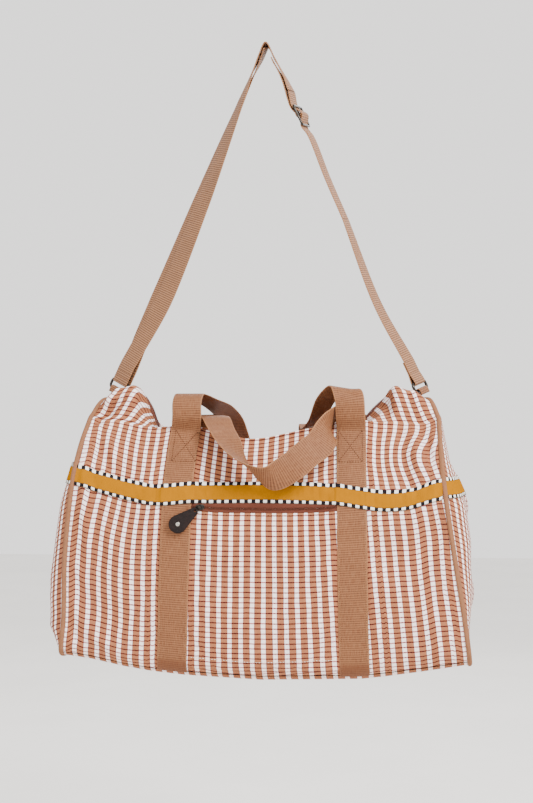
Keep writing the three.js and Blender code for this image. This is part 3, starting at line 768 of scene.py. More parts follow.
def leather_material():
    n = Nodes("pull_leather", 0.6, specular=0.12)
    spot = n.here()
    cells = n.add("TexVoronoi", spot, None, 900.0, feature="DISTANCE_TO_EDGE").outputs[0]
    crease = n.ramp(cells, 0.0, 0.12)
    worn = n.ramp(n.noise(spot, 160, 4), 0.45, 0.7)
    colour = n.mix(worn, linear(26, 17, 16), linear(38, 26, 24))
    colour = n.mix(crease, linear(12, 8, 8), colour)
    return n.finish(colour, crease, 0.00025, 0.6, n.ramp(worn, 0, 1, 0.42, 0.6))


CANVAS = canvas_material()
# the second colour of each webbing is painted shade for its rib valleys
WEBBING = webbing_material("handle_webbing", linear(126, 78, 47), linear(80, 45, 26))
STRAP = webbing_material("strap_webbing", linear(152, 107, 75), linear(76, 46, 29))
BAND = band_material()
PIPING = twill_material("piping_cloth", linear(140, 96, 68), linear(112, 72, 50))
ZIP_TAPE = twill_material("zip_tape_cloth", linear(100, 54, 40), linear(76, 40, 30), 0.0009)
ZIP_TEETH = solid_material("zip_nylon", linear(92, 50, 36), linear(80, 44, 32), 0.85)
LINING = twill_material("lining_cotton", linear(232, 226, 212), linear(220, 212, 196))
THREAD = solid_material("tan_thread", linear(166, 118, 80), linear(136, 92, 60), 0.7)
DARK_THREAD = solid_material("brown_thread", linear(84, 48, 28), linear(64, 36, 22), 0.7)
CREAM_THREAD = solid_material("cream_thread", linear(242, 228, 214), linear(226, 206, 190), 0.7)
LEATHER = leather_material()
GUNMETAL = solid_material("gunmetal", linear(66, 62, 58), linear(46, 43, 40), 0.3, 1.0)
NICKEL = solid_material("nickel", linear(196, 192, 184), linear(168, 162, 154), 0.25, 1.0)


# ---- canvas panels -----------------------------------------------------------------------
def column_run(grid):
    """The length down each column of a grid."""
    step = np.linalg.norm(np.diff(grid, axis=0), axis=2)
    return np.concatenate([np.zeros((1, grid.shape[1])), np.cumsum(step, 0)])


def cloth_uv(grid, us, start_row, shift=0.0):
    """Cloth coordinates of a panel: stripes across by u, length down each column."""
    run = column_run(grid)
    return uv_of(us[None] * CLOTH_WIDTH + shift, run - run[start_row])


def stripe_shift(grid, u, v):
    """How far the front's stripes are pushed sideways at each point of the panel."""
    shift = np.zeros(u.shape)
    for x, z, reach_x, reach_z, size in STRIPE_SHIFTS:
        away = ((grid[..., 0] - x) / reach_x) ** 2
        shift += size * np.exp(-away - ((grid[..., 2] - z) / reach_z) ** 2)
    rise = np.clip((CREASE_KEY - v) / (CREASE_KEY - V_PANEL), 0, 1)
    shift *= smooth(v, CREASE_KEY - 0.2, CREASE_KEY + 0.3)
    return shift + EAR_SHIFT * rise * smooth(-u, 0.64, 0.78)


def build_panels():
    us = np.linspace(-U_EDGE, U_EDGE, 260)
    vs = np.linspace(V_PANEL, SEAM_KEY - SEAM_GAP, 190)
    u, v = np.meshgrid(us, vs)
    crease_row = int(np.argmin(np.abs(vs - CREASE_KEY)))
    for face, label in FACE_NAMES.items():
        grid = body(face, u, v)
        shift = stripe_shift(grid, u, v) if face == FRONT else 0.0
        uv = cloth_uv(grid, us, crease_row, shift)
        obj = slab(f"{label}_canvas", grid, grid - normals_of(grid) * face * CLOTH, uv)
        place(obj, CANVAS, "bag", "canvas", f"{label}_panel")


def under(surface, u, w):
    """Points of a surface that runs down the front, round the base and up the back."""
    near = (w <= LAST_KEY)[..., None]
    return np.where(near, surface(FRONT, u, np.minimum(w, LAST_KEY)),
                    surface(BACK, u, np.minimum(2 * LAST_KEY - w, LAST_KEY)))


def build_base():
    us = np.linspace(-U_EDGE, U_EDGE, 160)
    ws = np.linspace(SEAM_KEY + SEAM_GAP, 2 * LAST_KEY - SEAM_KEY - SEAM_GAP, 60)
    grid = under(body, *np.meshgrid(us, ws))
    obj = slab("base_canvas", grid, grid - outward(grid, 2, -1) * CLOTH, cloth_uv(grid, us, 0))
    place(obj, CANVAS, "bag", "canvas", "base_panel")


END_TOP = 0.7           # end panels start here, in keys from the zip line
END_WIDTH = 120         # half the width of an end's cloth, for the stripes
LINING_PART = (slice(12, 108), slice(5, -5))    # rows and columns of an end that are lined
LINING_GAP = 8


def build_ends():
    ss = np.linspace(-1, 1, 70)
    s, v = np.meshgrid(ss, np.linspace(END_TOP, SEAM_KEY + 0.015, 120))
    for side, label in SIDE_NAMES.items():
        grid = end_surface(side, s, v)
        normal = outward(grid, 0, side)
        uv = uv_of(ss[None] * END_WIDTH, column_run(grid))
        obj = slab(f"end_canvas_{label}", grid, grid - normal * CLOTH, uv)
        place(obj, CANVAS, "bag", "canvas", f"end_panel_{label}")
        inner = (grid - normal * LINING_GAP)[LINING_PART]
        obj = slab(f"end_lining_{label}", inner, inner - normal[LINING_PART], uv[LINING_PART])
        place(obj, LINING, "bag", "lining", f"lining_end_{label}")


LINING_U, LINING_KEY = 0.93, CREASE_KEY + 0.9
BODY_CENTRE = (0, 0, -690.0)


def build_lining():
    us = np.linspace(-LINING_U, LINING_U, 70)
    ws = np.linspace(LINING_KEY, 2 * LAST_KEY - LINING_KEY, 110)
    grid = under(plain_grid, *np.meshgrid(us, ws))
    normal = normals_of(grid)
    inward = np.sum(normal * (BODY_CENTRE - grid), -1, keepdims=True) > 0
    normal = np.where(inward, normal, -normal)
    obj = slab("body_lining", grid + normal * 9, grid + normal * 10, cloth_uv(grid, us, 0))
    place(obj, LINING, "bag", "lining", "lining_body")


def plain_grid(face, u, v):
    """A grid of points of the body surface before folds and sag."""
    return plain_body(face, u.ravel(), v.ravel()).reshape(*u.shape, 3)


# ---- webbing -----------------------------------------------------------------------------
WEB_COLUMNS = np.array([-1, -0.97, -0.9, -0.6, -0.2, 0.2, 0.6, 0.9, 0.97, 1])
WEB_EDGE = np.array([0.35, 0.8, 1, 1, 1, 1, 1, 1, 0.8, 0.35])
RIB_STEP = RIB_PITCH / 4


def web_rows(centres, wides, width):
    """Rows of points across a webbing from its centres and width directions."""
    along = unit(np.gradient(centres, axis=0))
    wides = unit(wides - along * np.sum(wides * along, 1, keepdims=True))
    return centres[:, None] + wides[:, None] * WEB_COLUMNS[None, :, None] * width / 2


def resample_rows(rows, step):
    """Evenly spaced rows, and the length up to each of them."""
    run = run_along(rows.mean(1))
    count = max(int(round(run[-1] / step)), 4) + 1
    at = np.linspace(0, run[-1], count)
    return at_run(at, run, rows.reshape(len(rows), -1)).reshape(count, *rows.shape[1:]), at


def smooth_rows(rows, passes):
    """Evens out small kinks along a table of rows, keeping both ends."""
    for _ in range(passes):
        rows[1:-1] = (rows[:-2] + 2 * rows[1:-1] + rows[2:]) / 4
    return rows


def twisted_rows(table, t, passes, width):
    """Rows of a webbing through stations, each a centre and a width direction."""
    wide = smooth_rows(at_run(t, np.arange(len(table)), table[:, 3:]), passes)
    return web_rows(on_curve(table[:, :3], t), wide, width)


def webbing(name, rows, width, thick=WEB_THICK, cup=0.0, dark=None):
    """A ribbed webbing over rows of mid-surface points (M, C, 3)."""
    rows, run = resample_rows(rows, RIB_STEP)
    rows = smooth_rows(rows, 3)
    out = -normals_of(rows)
    rib = np.abs(np.sin(math.pi * run / RIB_PITCH))
    inner_columns = (np.abs(WEB_COLUMNS) < 0.95).astype(float)
    half = thick / 2 * WEB_EDGE[None] + (rib[:, None] - 0.6) * RIB_DEPTH * inner_columns[None]
    rows = rows + out * (cup * (1 - WEB_COLUMNS**2))[None, :, None]
    top = rows + out * half[..., None]
    low = (rows - out * half[..., None])[:, ::-1]
    ring = np.concatenate([top, low], 1)
    sides = ring.shape[1]
    across = np.concatenate([WEB_COLUMNS, WEB_COLUMNS[::-1]]) * width / 2
    uv = uv_of(across[None], run[:, None]).reshape(-1, 2)
    # painted shade along the length, from dark
    shade = np.zeros(len(run)) if dark is None else dark(run)
    return make(name, ring, ring_faces(len(run), sides), uv, np.repeat(shade, sides))


def leg_x(side, v):
    """The x of the middle of a webbing leg at v: the legs lean outwards on their way down."""
    t = (v - CREASE_KEY) / (SEAM_KEY - CREASE_KEY)
    return LEG_TOP_X[side] + (LEG_BASE_X[side] - LEG_TOP_X[side]) * t


def leg_rows(face, side, height):
    """Rows over the panel from the base seam up to where the handle leaves it."""
    top = float(v_of(face, np.array([float(LEG_TOP_X[side])]), LEG_TOP_Z)[0])
    v = np.linspace(SEAM_KEY - SEAM_GAP, top, 150)[:, None]
    x = leg_x(side, v) + WEB_COLUMNS[None] * WEB_WIDTH / 2
    v = np.broadcast_to(v, x.shape)
    u = u_of(x, v)
    grid = body(face, u, v)
    return grid + body_normal(face, u, v) * height


def handle_rows(face, stations):
    """Rows of a whole handle: up the left leg, over and round its loop, down the right leg."""
    height = OVERLAY + WEB_THICK / 2
    left = leg_rows(face, LEFT, height)
    right = leg_rows(face, RIGHT, height)[::-1, ::-1]
    lead = [(*row.mean(0), 1, 0, 0) for row in (left[-12], left[-1])]
    tail = [(*row.mean(0), -1, 0, 0) for row in (right[0], right[11])]
    table = np.array(lead + stations + tail)
    t = np.linspace(1, len(table) - 2, 16 * len(table))
    return np.concatenate([left[:-1], twisted_rows(table, t, 6, WEB_WIDTH), right[1:]])


def painted_foot_shade(total):
    """Painted shade: darker where the webbing's foot is folded under at the base seam."""
    def shade(run):
        foot = np.minimum(run, total - run)
        return 0.9 * (1 - smooth(foot, 15, 22))
    return shade


HANDLE_BEND = (0.066, 0.100)     # depths in metres at a handle's foot, which nothing uses


def build_handles():
    for label, face, stations in (("rear", BACK, REAR_HANDLE), ("front", FRONT, FRONT_HANDLE)):
        rows = handle_rows(face, stations)
        # the feet at both ends get painted shade where they fold under at the base seam
        dark = painted_foot_shade(run_along(rows.mean(1))[-1])
        obj = webbing(f"{label}_handle_webbing", rows, WEB_WIDTH, dark=dark)
        nodes = [f"{FACE_NAMES[face]}_leg_{side}" for side in SIDE_NAMES.values()]
        nodes += [f"{label}_handle_{part}" for part in ("crossing_left", "loop", "crossing_right")]
        place(obj, WEBBING, None, "webbing", *nodes)
        start, end = ((0, -face * y, -0.5) for y in HANDLE_BEND)
        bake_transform(obj)
        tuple(start)
        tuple(end)


# ---- stitches ------------------------------------------------------------------------------
def spaced(points, normals, spacing):
    """Evenly spaced lengths along a polyline, its own run and points, and the normals there."""
    points = np.asarray(points, float)
    run = run_along(points)
    count = max(int(run[-1] / spacing), 1)
    at = (np.arange(count) + 0.5) * run[-1] / count
    return at, run, points, unit(at_run(at, run, np.asarray(normals)))


def stitches(name, runs, material, body_name, slot, length=2.3, gap=1.1, radius=0.36):
    """Short threads along runs of (points, normals); each run is a polyline."""
    rows = []
    for points, normals in runs:
        at, run, points, up = spaced(points, normals, length + gap)
        along = unit(at_run(at + 0.5, run, points) - at_run(at - 0.5, run, points))
        rows += zip(at_run(at, run, points), along, up, np.cross(along, up))

    def thread(i, t, r, angle):
        centre, along, up, side = rows[i]
        offset = side * math.cos(angle) + up * (math.sin(angle) * 0.8 + 0.2)
        return centre + along * t * length + offset * r * radius

    profile = [(-0.5, 0.25), (-0.3, 0.9), (0.0, 1.0), (0.3, 0.9), (0.5, 0.25)]
    place(beads(name, len(rows), profile, 6, 0, thread), material, body_name, slot)


def on_body(face, x, z, height):
    """A line on the panel at heights z under x, and its normals; height may depend on (x, v)."""
    v = v_of(face, x, z)
    u = u_of(x, v)
    normal = body_normal(face, u, v)
    over = height(x, v)[:, None] if callable(height) else height
    return body(face, u, v) + normal * over, normal


BOX_TOP, BOX_LOW, BOX_HALF = -513.0, -553.0, 15.5
LEAN_TOP, LEAN_LENGTH = -512, 290        # the legs lean outwards over this height
EDGE_TOP, EDGE_LOW = -540, -800
EDGE_STITCH = WEB_WIDTH / 2 - 2.4        # from the middle of a leg to its edge stitches


def box_stitch_runs(face, side):
    """A sewn box with a cross, where the webbing leaves the panel."""
    height = OVERLAY + WEB_THICK + 0.25
    corners = [(-BOX_HALF, BOX_TOP), (BOX_HALF, BOX_TOP), (BOX_HALF, BOX_LOW), (-BOX_HALF, BOX_LOW)]
    lines = [(corners[i], corners[(i + 1) % 4]) for i in range(4)]
    lines += [(corners[0], corners[2]), (corners[1], corners[3])]
    t = np.linspace(0, 1, 24)
    runs = []
    for (x0, z0), (x1, z1) in lines:
        z = z0 + (z1 - z0) * t
        lean = (LEAN_TOP - z) / LEAN_LENGTH * (LEG_BASE_X[side] - LEG_TOP_X[side])
        runs.append(on_body(face, LEG_TOP_X[side] + x0 + (x1 - x0) * t + lean, z, height))
    return runs


def build_stitches():
    z = np.linspace(EDGE_TOP, EDGE_LOW, 60)
    for face, label in FACE_NAMES.items():
        boxes, edges = [], []
        for side in SIDE_NAMES:
            boxes += box_stitch_runs(face, side)
            v = v_of(face, np.full(len(z), float(LEG_TOP_X[side])), z)
            for edge in (-1, 1):
                x = leg_x(side, v) + edge * EDGE_STITCH
                edges.append(on_body(face, x, z, OVERLAY + WEB_THICK + 0.2))
        stitches(f"{label}_leg_box_stitches", boxes, DARK_THREAD, "bag", "webbing", 1.9, 1.3, 0.45)
        stitches(f"{label}_leg_edge_stitches", edges, THREAD, "bag", "webbing", 2.2, 1.2, 0.28)


# ---- woven band ----------------------------------------------------------------------------
def climb(x, v):
    """Height of the band over the panel: it rides over the legs."""
    away = np.full(np.shape(x), 1e3)
    for side in SIDE_NAMES:
        away = np.minimum(away, np.abs(x - leg_x(side, v)) - WEB_WIDTH / 2)
    return OVERLAY + (WEB_THICK + 0.5) * (1 - smooth(away, 0.6, 4))


BAND_ROWS = 9
BAND_PATTERN = 25       # width of the woven pattern
BAND_END_X = {LEFT: -241, RIGHT: 235}    # where the band meets the end panels


def band_piece(name, low, normal, node):
    """A length of band on the rows of points that it lies on."""
    uv = uv_of(run_along(low[BAND_ROWS // 2])[None], np.linspace(0, BAND_PATTERN, BAND_ROWS)[:, None])
    place(slab(name, low + normal * BAND_THICK, low, uv), BAND, "bag", "band", node)


def build_bands():
    x = np.linspace(U_EDGE * BAND_END_X[LEFT], U_EDGE * BAND_END_X[RIGHT], 420)
    lift = band_lift(x)
    heights = np.linspace(*BAND_Z, BAND_ROWS)
    for face, label in FACE_NAMES.items():
        low = np.array([on_body(face, x, z + lift, climb)[0] for z in heights])
        band_piece(f"{label}_band", low, outward(low, 1, face), f"band_{label}")
    s = np.linspace(-1, 1, 90)
    for side, label in SIDE_NAMES.items():
        lift = band_lift(np.array([float(BAND_END_X[side])]))[0]
        vs = [end_band_v(side, np.full(len(s), z + lift)) for z in heights]
        low = np.array([end_surface(side, s, v) for v in vs])
        normal = outward(low, 0, side)
        band_piece(f"end_band_{label}", low + normal * OVERLAY, normal, f"band_end_{label}")


def band_lift(x):
    """The band rises towards the ends of the bag."""
    keys = np.array(BAND_LIFT, float)
    return on_curve(keys, np.interp(x, keys[:, 0], np.arange(len(keys))))[:, 1]


def end_band_v(side, z):
    """The v at which the middle of an end panel has height z."""
    v = np.linspace(4, 8, 400)
    height = end_surface(side, np.zeros(len(v)), v)[:, 2]
    return np.interp(-np.asarray(z), -height, v)


# ---- cloth simulation ----------------------------------------------------------------------
def held(grid, v):
    """1 where the canvas is sewn to seams or webbing, less under the band."""
    weight = np.zeros(v.shape)
    for side in SIDE_NAMES:
        near = np.abs(grid[..., 0] - leg_x(side, v)) - WEB_WIDTH / 2
        weight = np.maximum(weight, (1 - smooth(near, 0, 7)) * (v > CREASE_KEY - 0.3))
    lift = band_lift(grid[..., 0].ravel()).reshape(v.shape)
    from_band = np.abs(grid[..., 2] - lift - sum(BAND_Z) / 2)
    weight = np.maximum(weight, 0.5 * (1 - smooth(from_band, 10, 18)))
    weight[:, :2] = weight[:, -2:] = 1
    weight[:2] = weight[-2:] = 1
    return weight


def settle(face):
    """Displacements of the simulated canvas from its modelled shape, in millimetres."""
    u, v = np.meshgrid(SIM_U, SIM_V)
    grid = body(face, u, v)
    rows, cols = u.shape
    mesh = bpy.data.meshes.new("settling_cloth")
    mesh.from_pydata((grid.reshape(-1, 3) * MM).tolist(), [], quads(rows, cols))
    cloth = add_object("settling_cloth", mesh)
    group = cloth.vertex_groups.new(name="held")
    for i, weight in enumerate(held(grid, v).ravel()):
        group.add([i], float(weight), "REPLACE")
    modifier = cloth.modifiers.new("cloth", "CLOTH")
    settings = modifier.settings
    settings.quality = 5
    settings.mass = 0.3
    settings.tension_stiffness = settings.compression_stiffness = 25
    settings.shear_stiffness = 12
    settings.bending_stiffness = 1.5
    settings.tension_damping = settings.compression_damping = 20
    settings.vertex_group_mass = "held"
    settings.pin_stiffness = 1.0
    settings.shrink_min = SIM_SPARE
    modifier.collision_settings.use_collision = False
    modifier.point_cache.frame_start = 1
    modifier.point_cache.frame_end = SIM_FRAMES
    scene = bpy.context.scene
    for number in range(1, SIM_FRAMES + 1):
        scene.frame_set(number)
    settled = cloth.evaluated_get(bpy.context.evaluated_depsgraph_get()).data
    points = np.empty(3 * len(settled.vertices))
    settled.vertices.foreach_get("co", points)
    scene.frame_set(1)
    bpy.data.objects.remove(cloth)
    bpy.data.meshes.remove(mesh)
    moved = points.reshape(-1, 3) / MM - grid.reshape(-1, 3)
    size = np.linalg.norm(moved, axis=1, keepdims=True)
    moved *= SAG_LIMIT * np.tanh(size / SAG_LIMIT) / np.maximum(size, 1e-6)
    return moved.reshape(rows, cols, 3)


# ---- piping ------------------------------------------------------------------------------
def build_piping():
    key = np.linspace(0, LAST_KEY, 90)
    for side, label in SIDE_NAMES.items():
        u = np.full(len(key), float(side))
        loop = np.concatenate([plain_body(FRONT, u, key), plain_body(BACK, u, key)[::-1][1:-1]])
        obj = tube(f"piping_tube_{label}", curve(loop[::4], 220, True), PIPING_RADIUS, 14, True)
        place(obj, PIPING, "bag", "piping", f"piping_{label}")


# ---- pocket ------------------------------------------------------------------------------
def pocket_x(s, v):
    """The x at s across the pocket, from under the left leg to under the right one."""
    left = leg_x(LEFT, v) + WEB_WIDTH / 2 - 2
    right = leg_x(RIGHT, v) - WEB_WIDTH / 2 + 2
    return left + (right - left) * s


POCKET_FOOT, POCKET_HEM = -818, -803.5
POCKET_BAG = (-620, -800)
POCKET_MIDDLE = sum(POCKET_ZIP_Z) / 2


def pocket_grid(z_from, z_to, rows, cols, height, s_from=0.0, s_to=1.0):
    """A grid over the front between the legs, its normals and its u."""
    zs = np.linspace(z_from, z_to, rows)
    v = np.repeat(v_of(FRONT, np.zeros(rows), zs)[:, None], cols, 1)
    x = pocket_x(np.linspace(s_from, s_to, cols)[None], v)
    u = u_of(x, v)
    normal = body_normal(FRONT, u, v)
    return body(FRONT, u, v) + normal * height, normal, u


def pocket_line(z, count, height, s_from=0.0, s_to=1.0):
    """One line across the pocket, and its normals."""
    grid, normal, _ = pocket_grid(z, z - 0.1, 2, count, height, s_from, s_to)
    return grid[0], normal[0]


def build_pocket():
    top = POCKET_ZIP_Z[1] - 0.4
    grid, normal, u = pocket_grid(top, POCKET_FOOT, 120, 150, 0.55)
    uv = uv_of(u * CLOTH_WIDTH, column_run(grid))
    obj = slab("pocket_cloth", grid + normal * 0.7, grid, uv)
    place(obj, CANVAS, "bag", "canvas", "pocket_panel")
    grid, normal, _ = pocket_grid(*POCKET_BAG, 30, 30, -4.5, 0.05, 0.95)
    obj = slab("pocket_bag_lining", grid, grid - normal * 0.8, uv_of(grid[..., 0], grid[..., 2]))
    place(obj, LINING, "bag", "lining", "pocket_lining")
    for name, z, material in (("pocket_hem_stitches", POCKET_HEM, CREAM_THREAD),
                              ("pocket_edge_stitches", top - 2.6, THREAD)):
        run = pocket_line(z, 120, 1.5, 0.03, 0.97)
        stitches(name, [run], material, "bag", "canvas", 2.6, 1.2, 0.3)


def teeth(name, points, normals, pitch, reach, width, high, node):
    """A row of zip teeth: rounded bars across the coil, set turn and turn about."""
    at, run, points, up = spaced(points, normals, pitch)
    centre = at_run(at, run, points)
    along = unit(np.gradient(centre, axis=0))
    across = np.cross(along, up)

    def tooth(i, t, r, angle):
        shift = 0.25 * reach * (1 if i % 2 else -1)
        return (centre[i] + across[i] * (t * reach + shift)
                + along[i] * math.cos(angle) * width * r
                + up[i] * (high / 2 + math.sin(angle) * high / 2 * r))

    profile = [(-1, 0.45), (-0.8, 0.9), (0, 1), (0.8, 0.9), (1, 0.45)]
    place(beads(name, len(at), profile, 8, 0.5, tooth), ZIP_TEETH, "bag", "zip_coil", node)


def build_pocket_zip():
    edges = {"upper": (POCKET_ZIP_Z[0] + 2.4, POCKET_MIDDLE + 0.3),
             "lower": (POCKET_MIDDLE - 0.3, POCKET_ZIP_Z[1])}
    for part, (z_from, z_to) in edges.items():
        grid, normal, _ = pocket_grid(z_from, z_to, 6, 120, OVERLAY - 0.2)
        uv = uv_of(grid[..., 0], grid[..., 2])
        obj = slab(f"pocket_tape_{part}", grid + normal * 0.6, grid, uv)
        place(obj, ZIP_TAPE, "bag", "zip_tape", f"pocket_zip_tape_{part}")
    line = pocket_line(POCKET_MIDDLE, 160, OVERLAY + 0.3)
    teeth("pocket_zip_teeth", *line, 1.25, 1.5, 0.42, 1.2, "pocket_zip_coil")


MAIN_ZIP_U = 0.95       # the main zip ends here, at both ends of the bag
TAPE_SINK = ([0.1, 0.3, 0.5], [0.2, 0.4, 1.6])       # v, and depth of the tape under the canvas


def build_main_zip():
    us = np.linspace(-MAIN_ZIP_U, MAIN_ZIP_U, 200)
    vs = np.linspace(V_TAPE, V_PANEL + 0.08, 7)
    u, v = np.meshgrid(us, vs)
    edge = np.full(len(us), V_PANEL + 0.09)
    for face, label in FACE_NAMES.items():
        normal = body_normal(face, u, v)
        grid = body(face, u, v) - normal * np.interp(vs, *TAPE_SINK)[:, None, None]
        obj = slab(f"main_tape_{label}", grid, grid - normal * 0.7, cloth_uv(grid, us, 0))
        place(obj, ZIP_TAPE, "bag", "zip_tape", f"main_zip_tape_{label}")
        up = body_normal(face, us, edge)
        runs = [(body(face, us, edge) + up * 0.1, up)]
        stitches(f"main_zip_stitches_{label}", runs, THREAD, "bag", "canvas")
    points = zip_point(np.linspace(-MAIN_ZIP_U, MAIN_ZIP_U, 300))
    up = np.cross(unit(np.gradient(points, axis=0)), np.array([0, 1.0, 0]))
    up *= np.where(up[:, 2:3] < 0, -1, 1)
    teeth("main_zip_teeth", points - up * 1.6, up, 1.4, 1.7, 0.46, 1.4, "main_zip_coil")


# ---- sliders, bails and leather pulls ------------------------------------------------------
SLIDER_HIGH = 2.0
BAIL, BAIL_WIRE = 2.7, 0.75
FOOT = SLIDER_HIGH + 0.3
PULL_LENGTH, PULL_END, PULL_NECK, PULL_THICK = 26.0, 11.6, 5.2, 2.2
HOLE, HOLE_AT = 1.7, -2.0
LOOP_REACH = 7.4


def slider_body(name, point):
    """A zip slider: two rounded plates joined at the nose."""
    verts, faces = [], []
    for low, high in ((0.0, 0.75), (1.15, SLIDER_HIGH)):
        start = len(verts)
        stations = [(-5.5, 1.6), (-5.0, 2.4), (-2.5, 3.1), (0.5, 3.5),
                    (3.5, 3.3), (5.0, 2.6), (5.5, 1.8)]
        for t, half in stations:
            for j in range(16):
                angle = 2 * math.pi * j / 16
                c, s = math.cos(angle), math.sin(angle)
                side = half * math.copysign(abs(c) ** 0.5, c)
                up = (low + high) / 2 + (high - low) / 2 * math.copysign(abs(s) ** 0.5, s)
                verts.append(point(t, up, side))
        faces += ring_faces(len(stations), 16, start)
    start = len(verts)
    for t, half in ((2.4, 0.7), (2.8, 1.1), (4.4, 1.1), (4.8, 0.7)):
        for j in range(12):
            angle = 2 * math.pi * j / 12
            verts.append(point(t, 0.95 + 0.6 * math.sin(angle), half * math.cos(angle)))
    faces += ring_faces(4, 12, start)
    return make(name, verts, faces)


def pull_body(name, frame_point):
    """The leather tongue: a round end, a narrow neck and a hole, with softly rounded edges."""
    count = 96
    taper = math.asin((PULL_END - PULL_NECK) / PULL_LENGTH)
    outline = []
    big = np.linspace(-math.pi / 2 - taper, math.pi / 2 + taper, 60)
    outline += [(PULL_LENGTH + PULL_END * math.cos(a), PULL_END * math.sin(a)) for a in big]
    small = np.linspace(math.pi / 2 + taper, 3 * math.pi / 2 - taper, 30)
    outline += [(PULL_NECK * math.cos(a), PULL_NECK * math.sin(a)) for a in small]
    outline = np.array(outline + outline[:1])
    outer = even(np.column_stack([outline, np.zeros(len(outline))]), count + 1)[:count, :2]
    away = outer - [HOLE_AT, 0]
    hole = np.array([HOLE_AT, 0]) + HOLE * away / np.linalg.norm(away, axis=1, keepdims=True)
    half = PULL_THICK / 2
    profile = [(0, -0.7), (0, 0.7), (0.03, 1.0), (0.35, 1.05), (0.7, 1.05), (0.9, 1.0), (0.96, 0.82),
               (0.992, 0.5), (1.0, 0.0), (0.992, -0.5), (0.96, -0.82), (0.9, -1.0), (0.5, -1.0),
               (0.03, -1.0)]
    verts = []
    for a, b in zip(outer, hole):
        for share, high in profile:
            l, w = b + (a - b) * share
            verts.append(frame_point(l, w, high * half))
    return make(name, verts, ring_faces(count, len(profile), loop=True))


def dome(name, centre_at, radius, high):
    """A rivet head: a low dome with a rounded rim and a dimple."""
    profile = [(-0.5, 0.25), (-0.5, 0.9), (-0.2, 1.0), (0.15, 0.97),
               (0.38, 0.8), (0.5, 0.5), (0.38, 0.3), (0.34, 0.12)]

    def rim(_, t, r, angle):
        return centre_at(r * radius * math.cos(angle), r * radius * math.sin(angle), t * high)

    return beads(name, 1, profile, 32, 0, rim)


def metal_wire(name, line, radius, sides, body_name, node, loop=False):
    """A piece of gunmetal wire along a line."""
    place(tube(name, line, radius, sides, loop), GUNMETAL, body_name, "hardware", node)


def slider_set(label, origin, up, travel, lie):
    """A zip slider with its bail, and a leather pull that lies along `lie`."""
    origin, up, travel, lie = (np.array(q, float) for q in (origin, up, travel, lie))
    lie = unit(lie)
    side = np.cross(travel, up)
    slider, pull = f"{label}_slider", f"{label}_pull"

    def point(t, u, s):
        return origin + travel * t + up * u + side * s

    place(slider_body(f"{slider}_body", point), GUNMETAL, slider, "hardware", slider)
    arch = ((-BAIL, SLIDER_HIGH - 0.3), (-BAIL, FOOT + 1.6), (-1.5, FOOT + 3.3), (0, FOOT + 3.7),
            (1.5, FOOT + 3.3), (BAIL, FOOT + 1.6), (BAIL, SLIDER_HIGH - 0.3))
    arch = curve([point(t, u, 0) for t, u in arch], 40)
    metal_wire(f"{label}_bail_wire", arch, BAIL_WIRE, 12, slider, f"{slider}_bail")
    eye = point(0, FOOT + 2, 0)
    out = unit(up - lie * np.dot(up, lie))
    across = np.cross(out, lie)

    def tongue(l, a, o):
        return eye + lie * l + across * a + out * o

    loop = ((-0.3, 0, 0), (1.5, 3.4, 0.3), (4.8, 1.4, 2.2), (LOOP_REACH, 0, 0),
            (4.8, -1.4, -2.2), (1.5, -3.4, -0.3))
    loop = curve([tongue(*q) for q in loop], 72, loop=True)
    metal_wire(f"{pull}_wire", loop, 0.6, 10, pull, f"{pull}_loop", True)
    neck = LOOP_REACH - 0.2 - HOLE_AT
    obj = pull_body(f"{pull}_leather", lambda l, w, h: tongue(neck + l, w, h))
    place(obj, LEATHER, pull, "pull_leather", pull)
    top = PULL_THICK / 2 + 0.35
    middle = neck + PULL_LENGTH
    obj = dome(f"{label}_rivet_head", lambda a, b, h: tongue(middle + a, b, top + h), 2.6, 0.9)
    place(obj, NICKEL, pull, "rivet", f"{pull}_rivet")


# ---- rings, strap and adjuster ---------------------------------------------------------------
SLOPE = 0.42             # how far the strap's sides lean, over one unit of their length
STEEP = math.sqrt(1 - SLOPE * SLOPE)
RING_TURN = {LEFT: -0.68, RIGHT: 0.38}   # how far a ring's width turns from the bag's depth
RING_HALF = (23, 6)      # half a ring's width and height
TURN_RADIUS = WIRE_RADIUS + 0.3 + WEB_THICK / 2
TAB_RADIUS = WIRE_RADIUS + 0.8 + WEB_THICK / 2
LAYER = 1.7              # how far the outer run and the return run lie from the middle
FOLD_LEG = {LEFT: 15, RIGHT: 31}         # how far a fold's legs reach above its ring
SEWN_GAP = 1.0           # half the distance between layers that are sewn together
SLIDE_RUN = 150          # length of the woven run below the adjuster's middle bar
TAB_WIDTH, TAB_LEGS = 30, (6, 6)
THIN_WEB = 1.4
ADJUSTER_X, ADJUSTER_Z = 47, -92
ADJUSTER_HALF = (20.5, 14)
ADJUSTER_TURN = 0.2
ADJUSTER_WIRE = 1.5
# The strap's two sides: x, z, and how far its width turns from the bag's depth.
LEFT_LINE = [
    (-172, -400, -0.7), (-138, -338, -0.75), (-83, -204, -0.62), (-32, -70, -0.34), (-9, -15, -0.05),
]
RETURN_SHIFT = [5, 14, 16, 15, 6]      # how far the return run has slipped sideways, along LEFT_LINE
RIGHT_LINE = [(9, -15, 0), (24, -42, 0.1)]


def strap_frame(side, turn):
    """Along the strap, across it and out of its face, on one side of the loop."""
    along = np.array([-side * SLOPE, 0, STEEP])
    wide = np.cross([0, 1, 0], along) * turn + np.array([0, math.sqrt(1 - turn * turn), 0])
    return along, wide, np.cross(along, wide) * -side


def in_frame(axes, origin, w, t, n):
    """The point at w across, t along and n out of the strap from an origin."""
    along, wide, out = axes
    return np.asarray(origin, float) + wide * w + along * t + out * n


def ring_centre(side):
    """The middle of a wire ring."""
    return np.array([RING_X[side], 0, RING_Z], float)


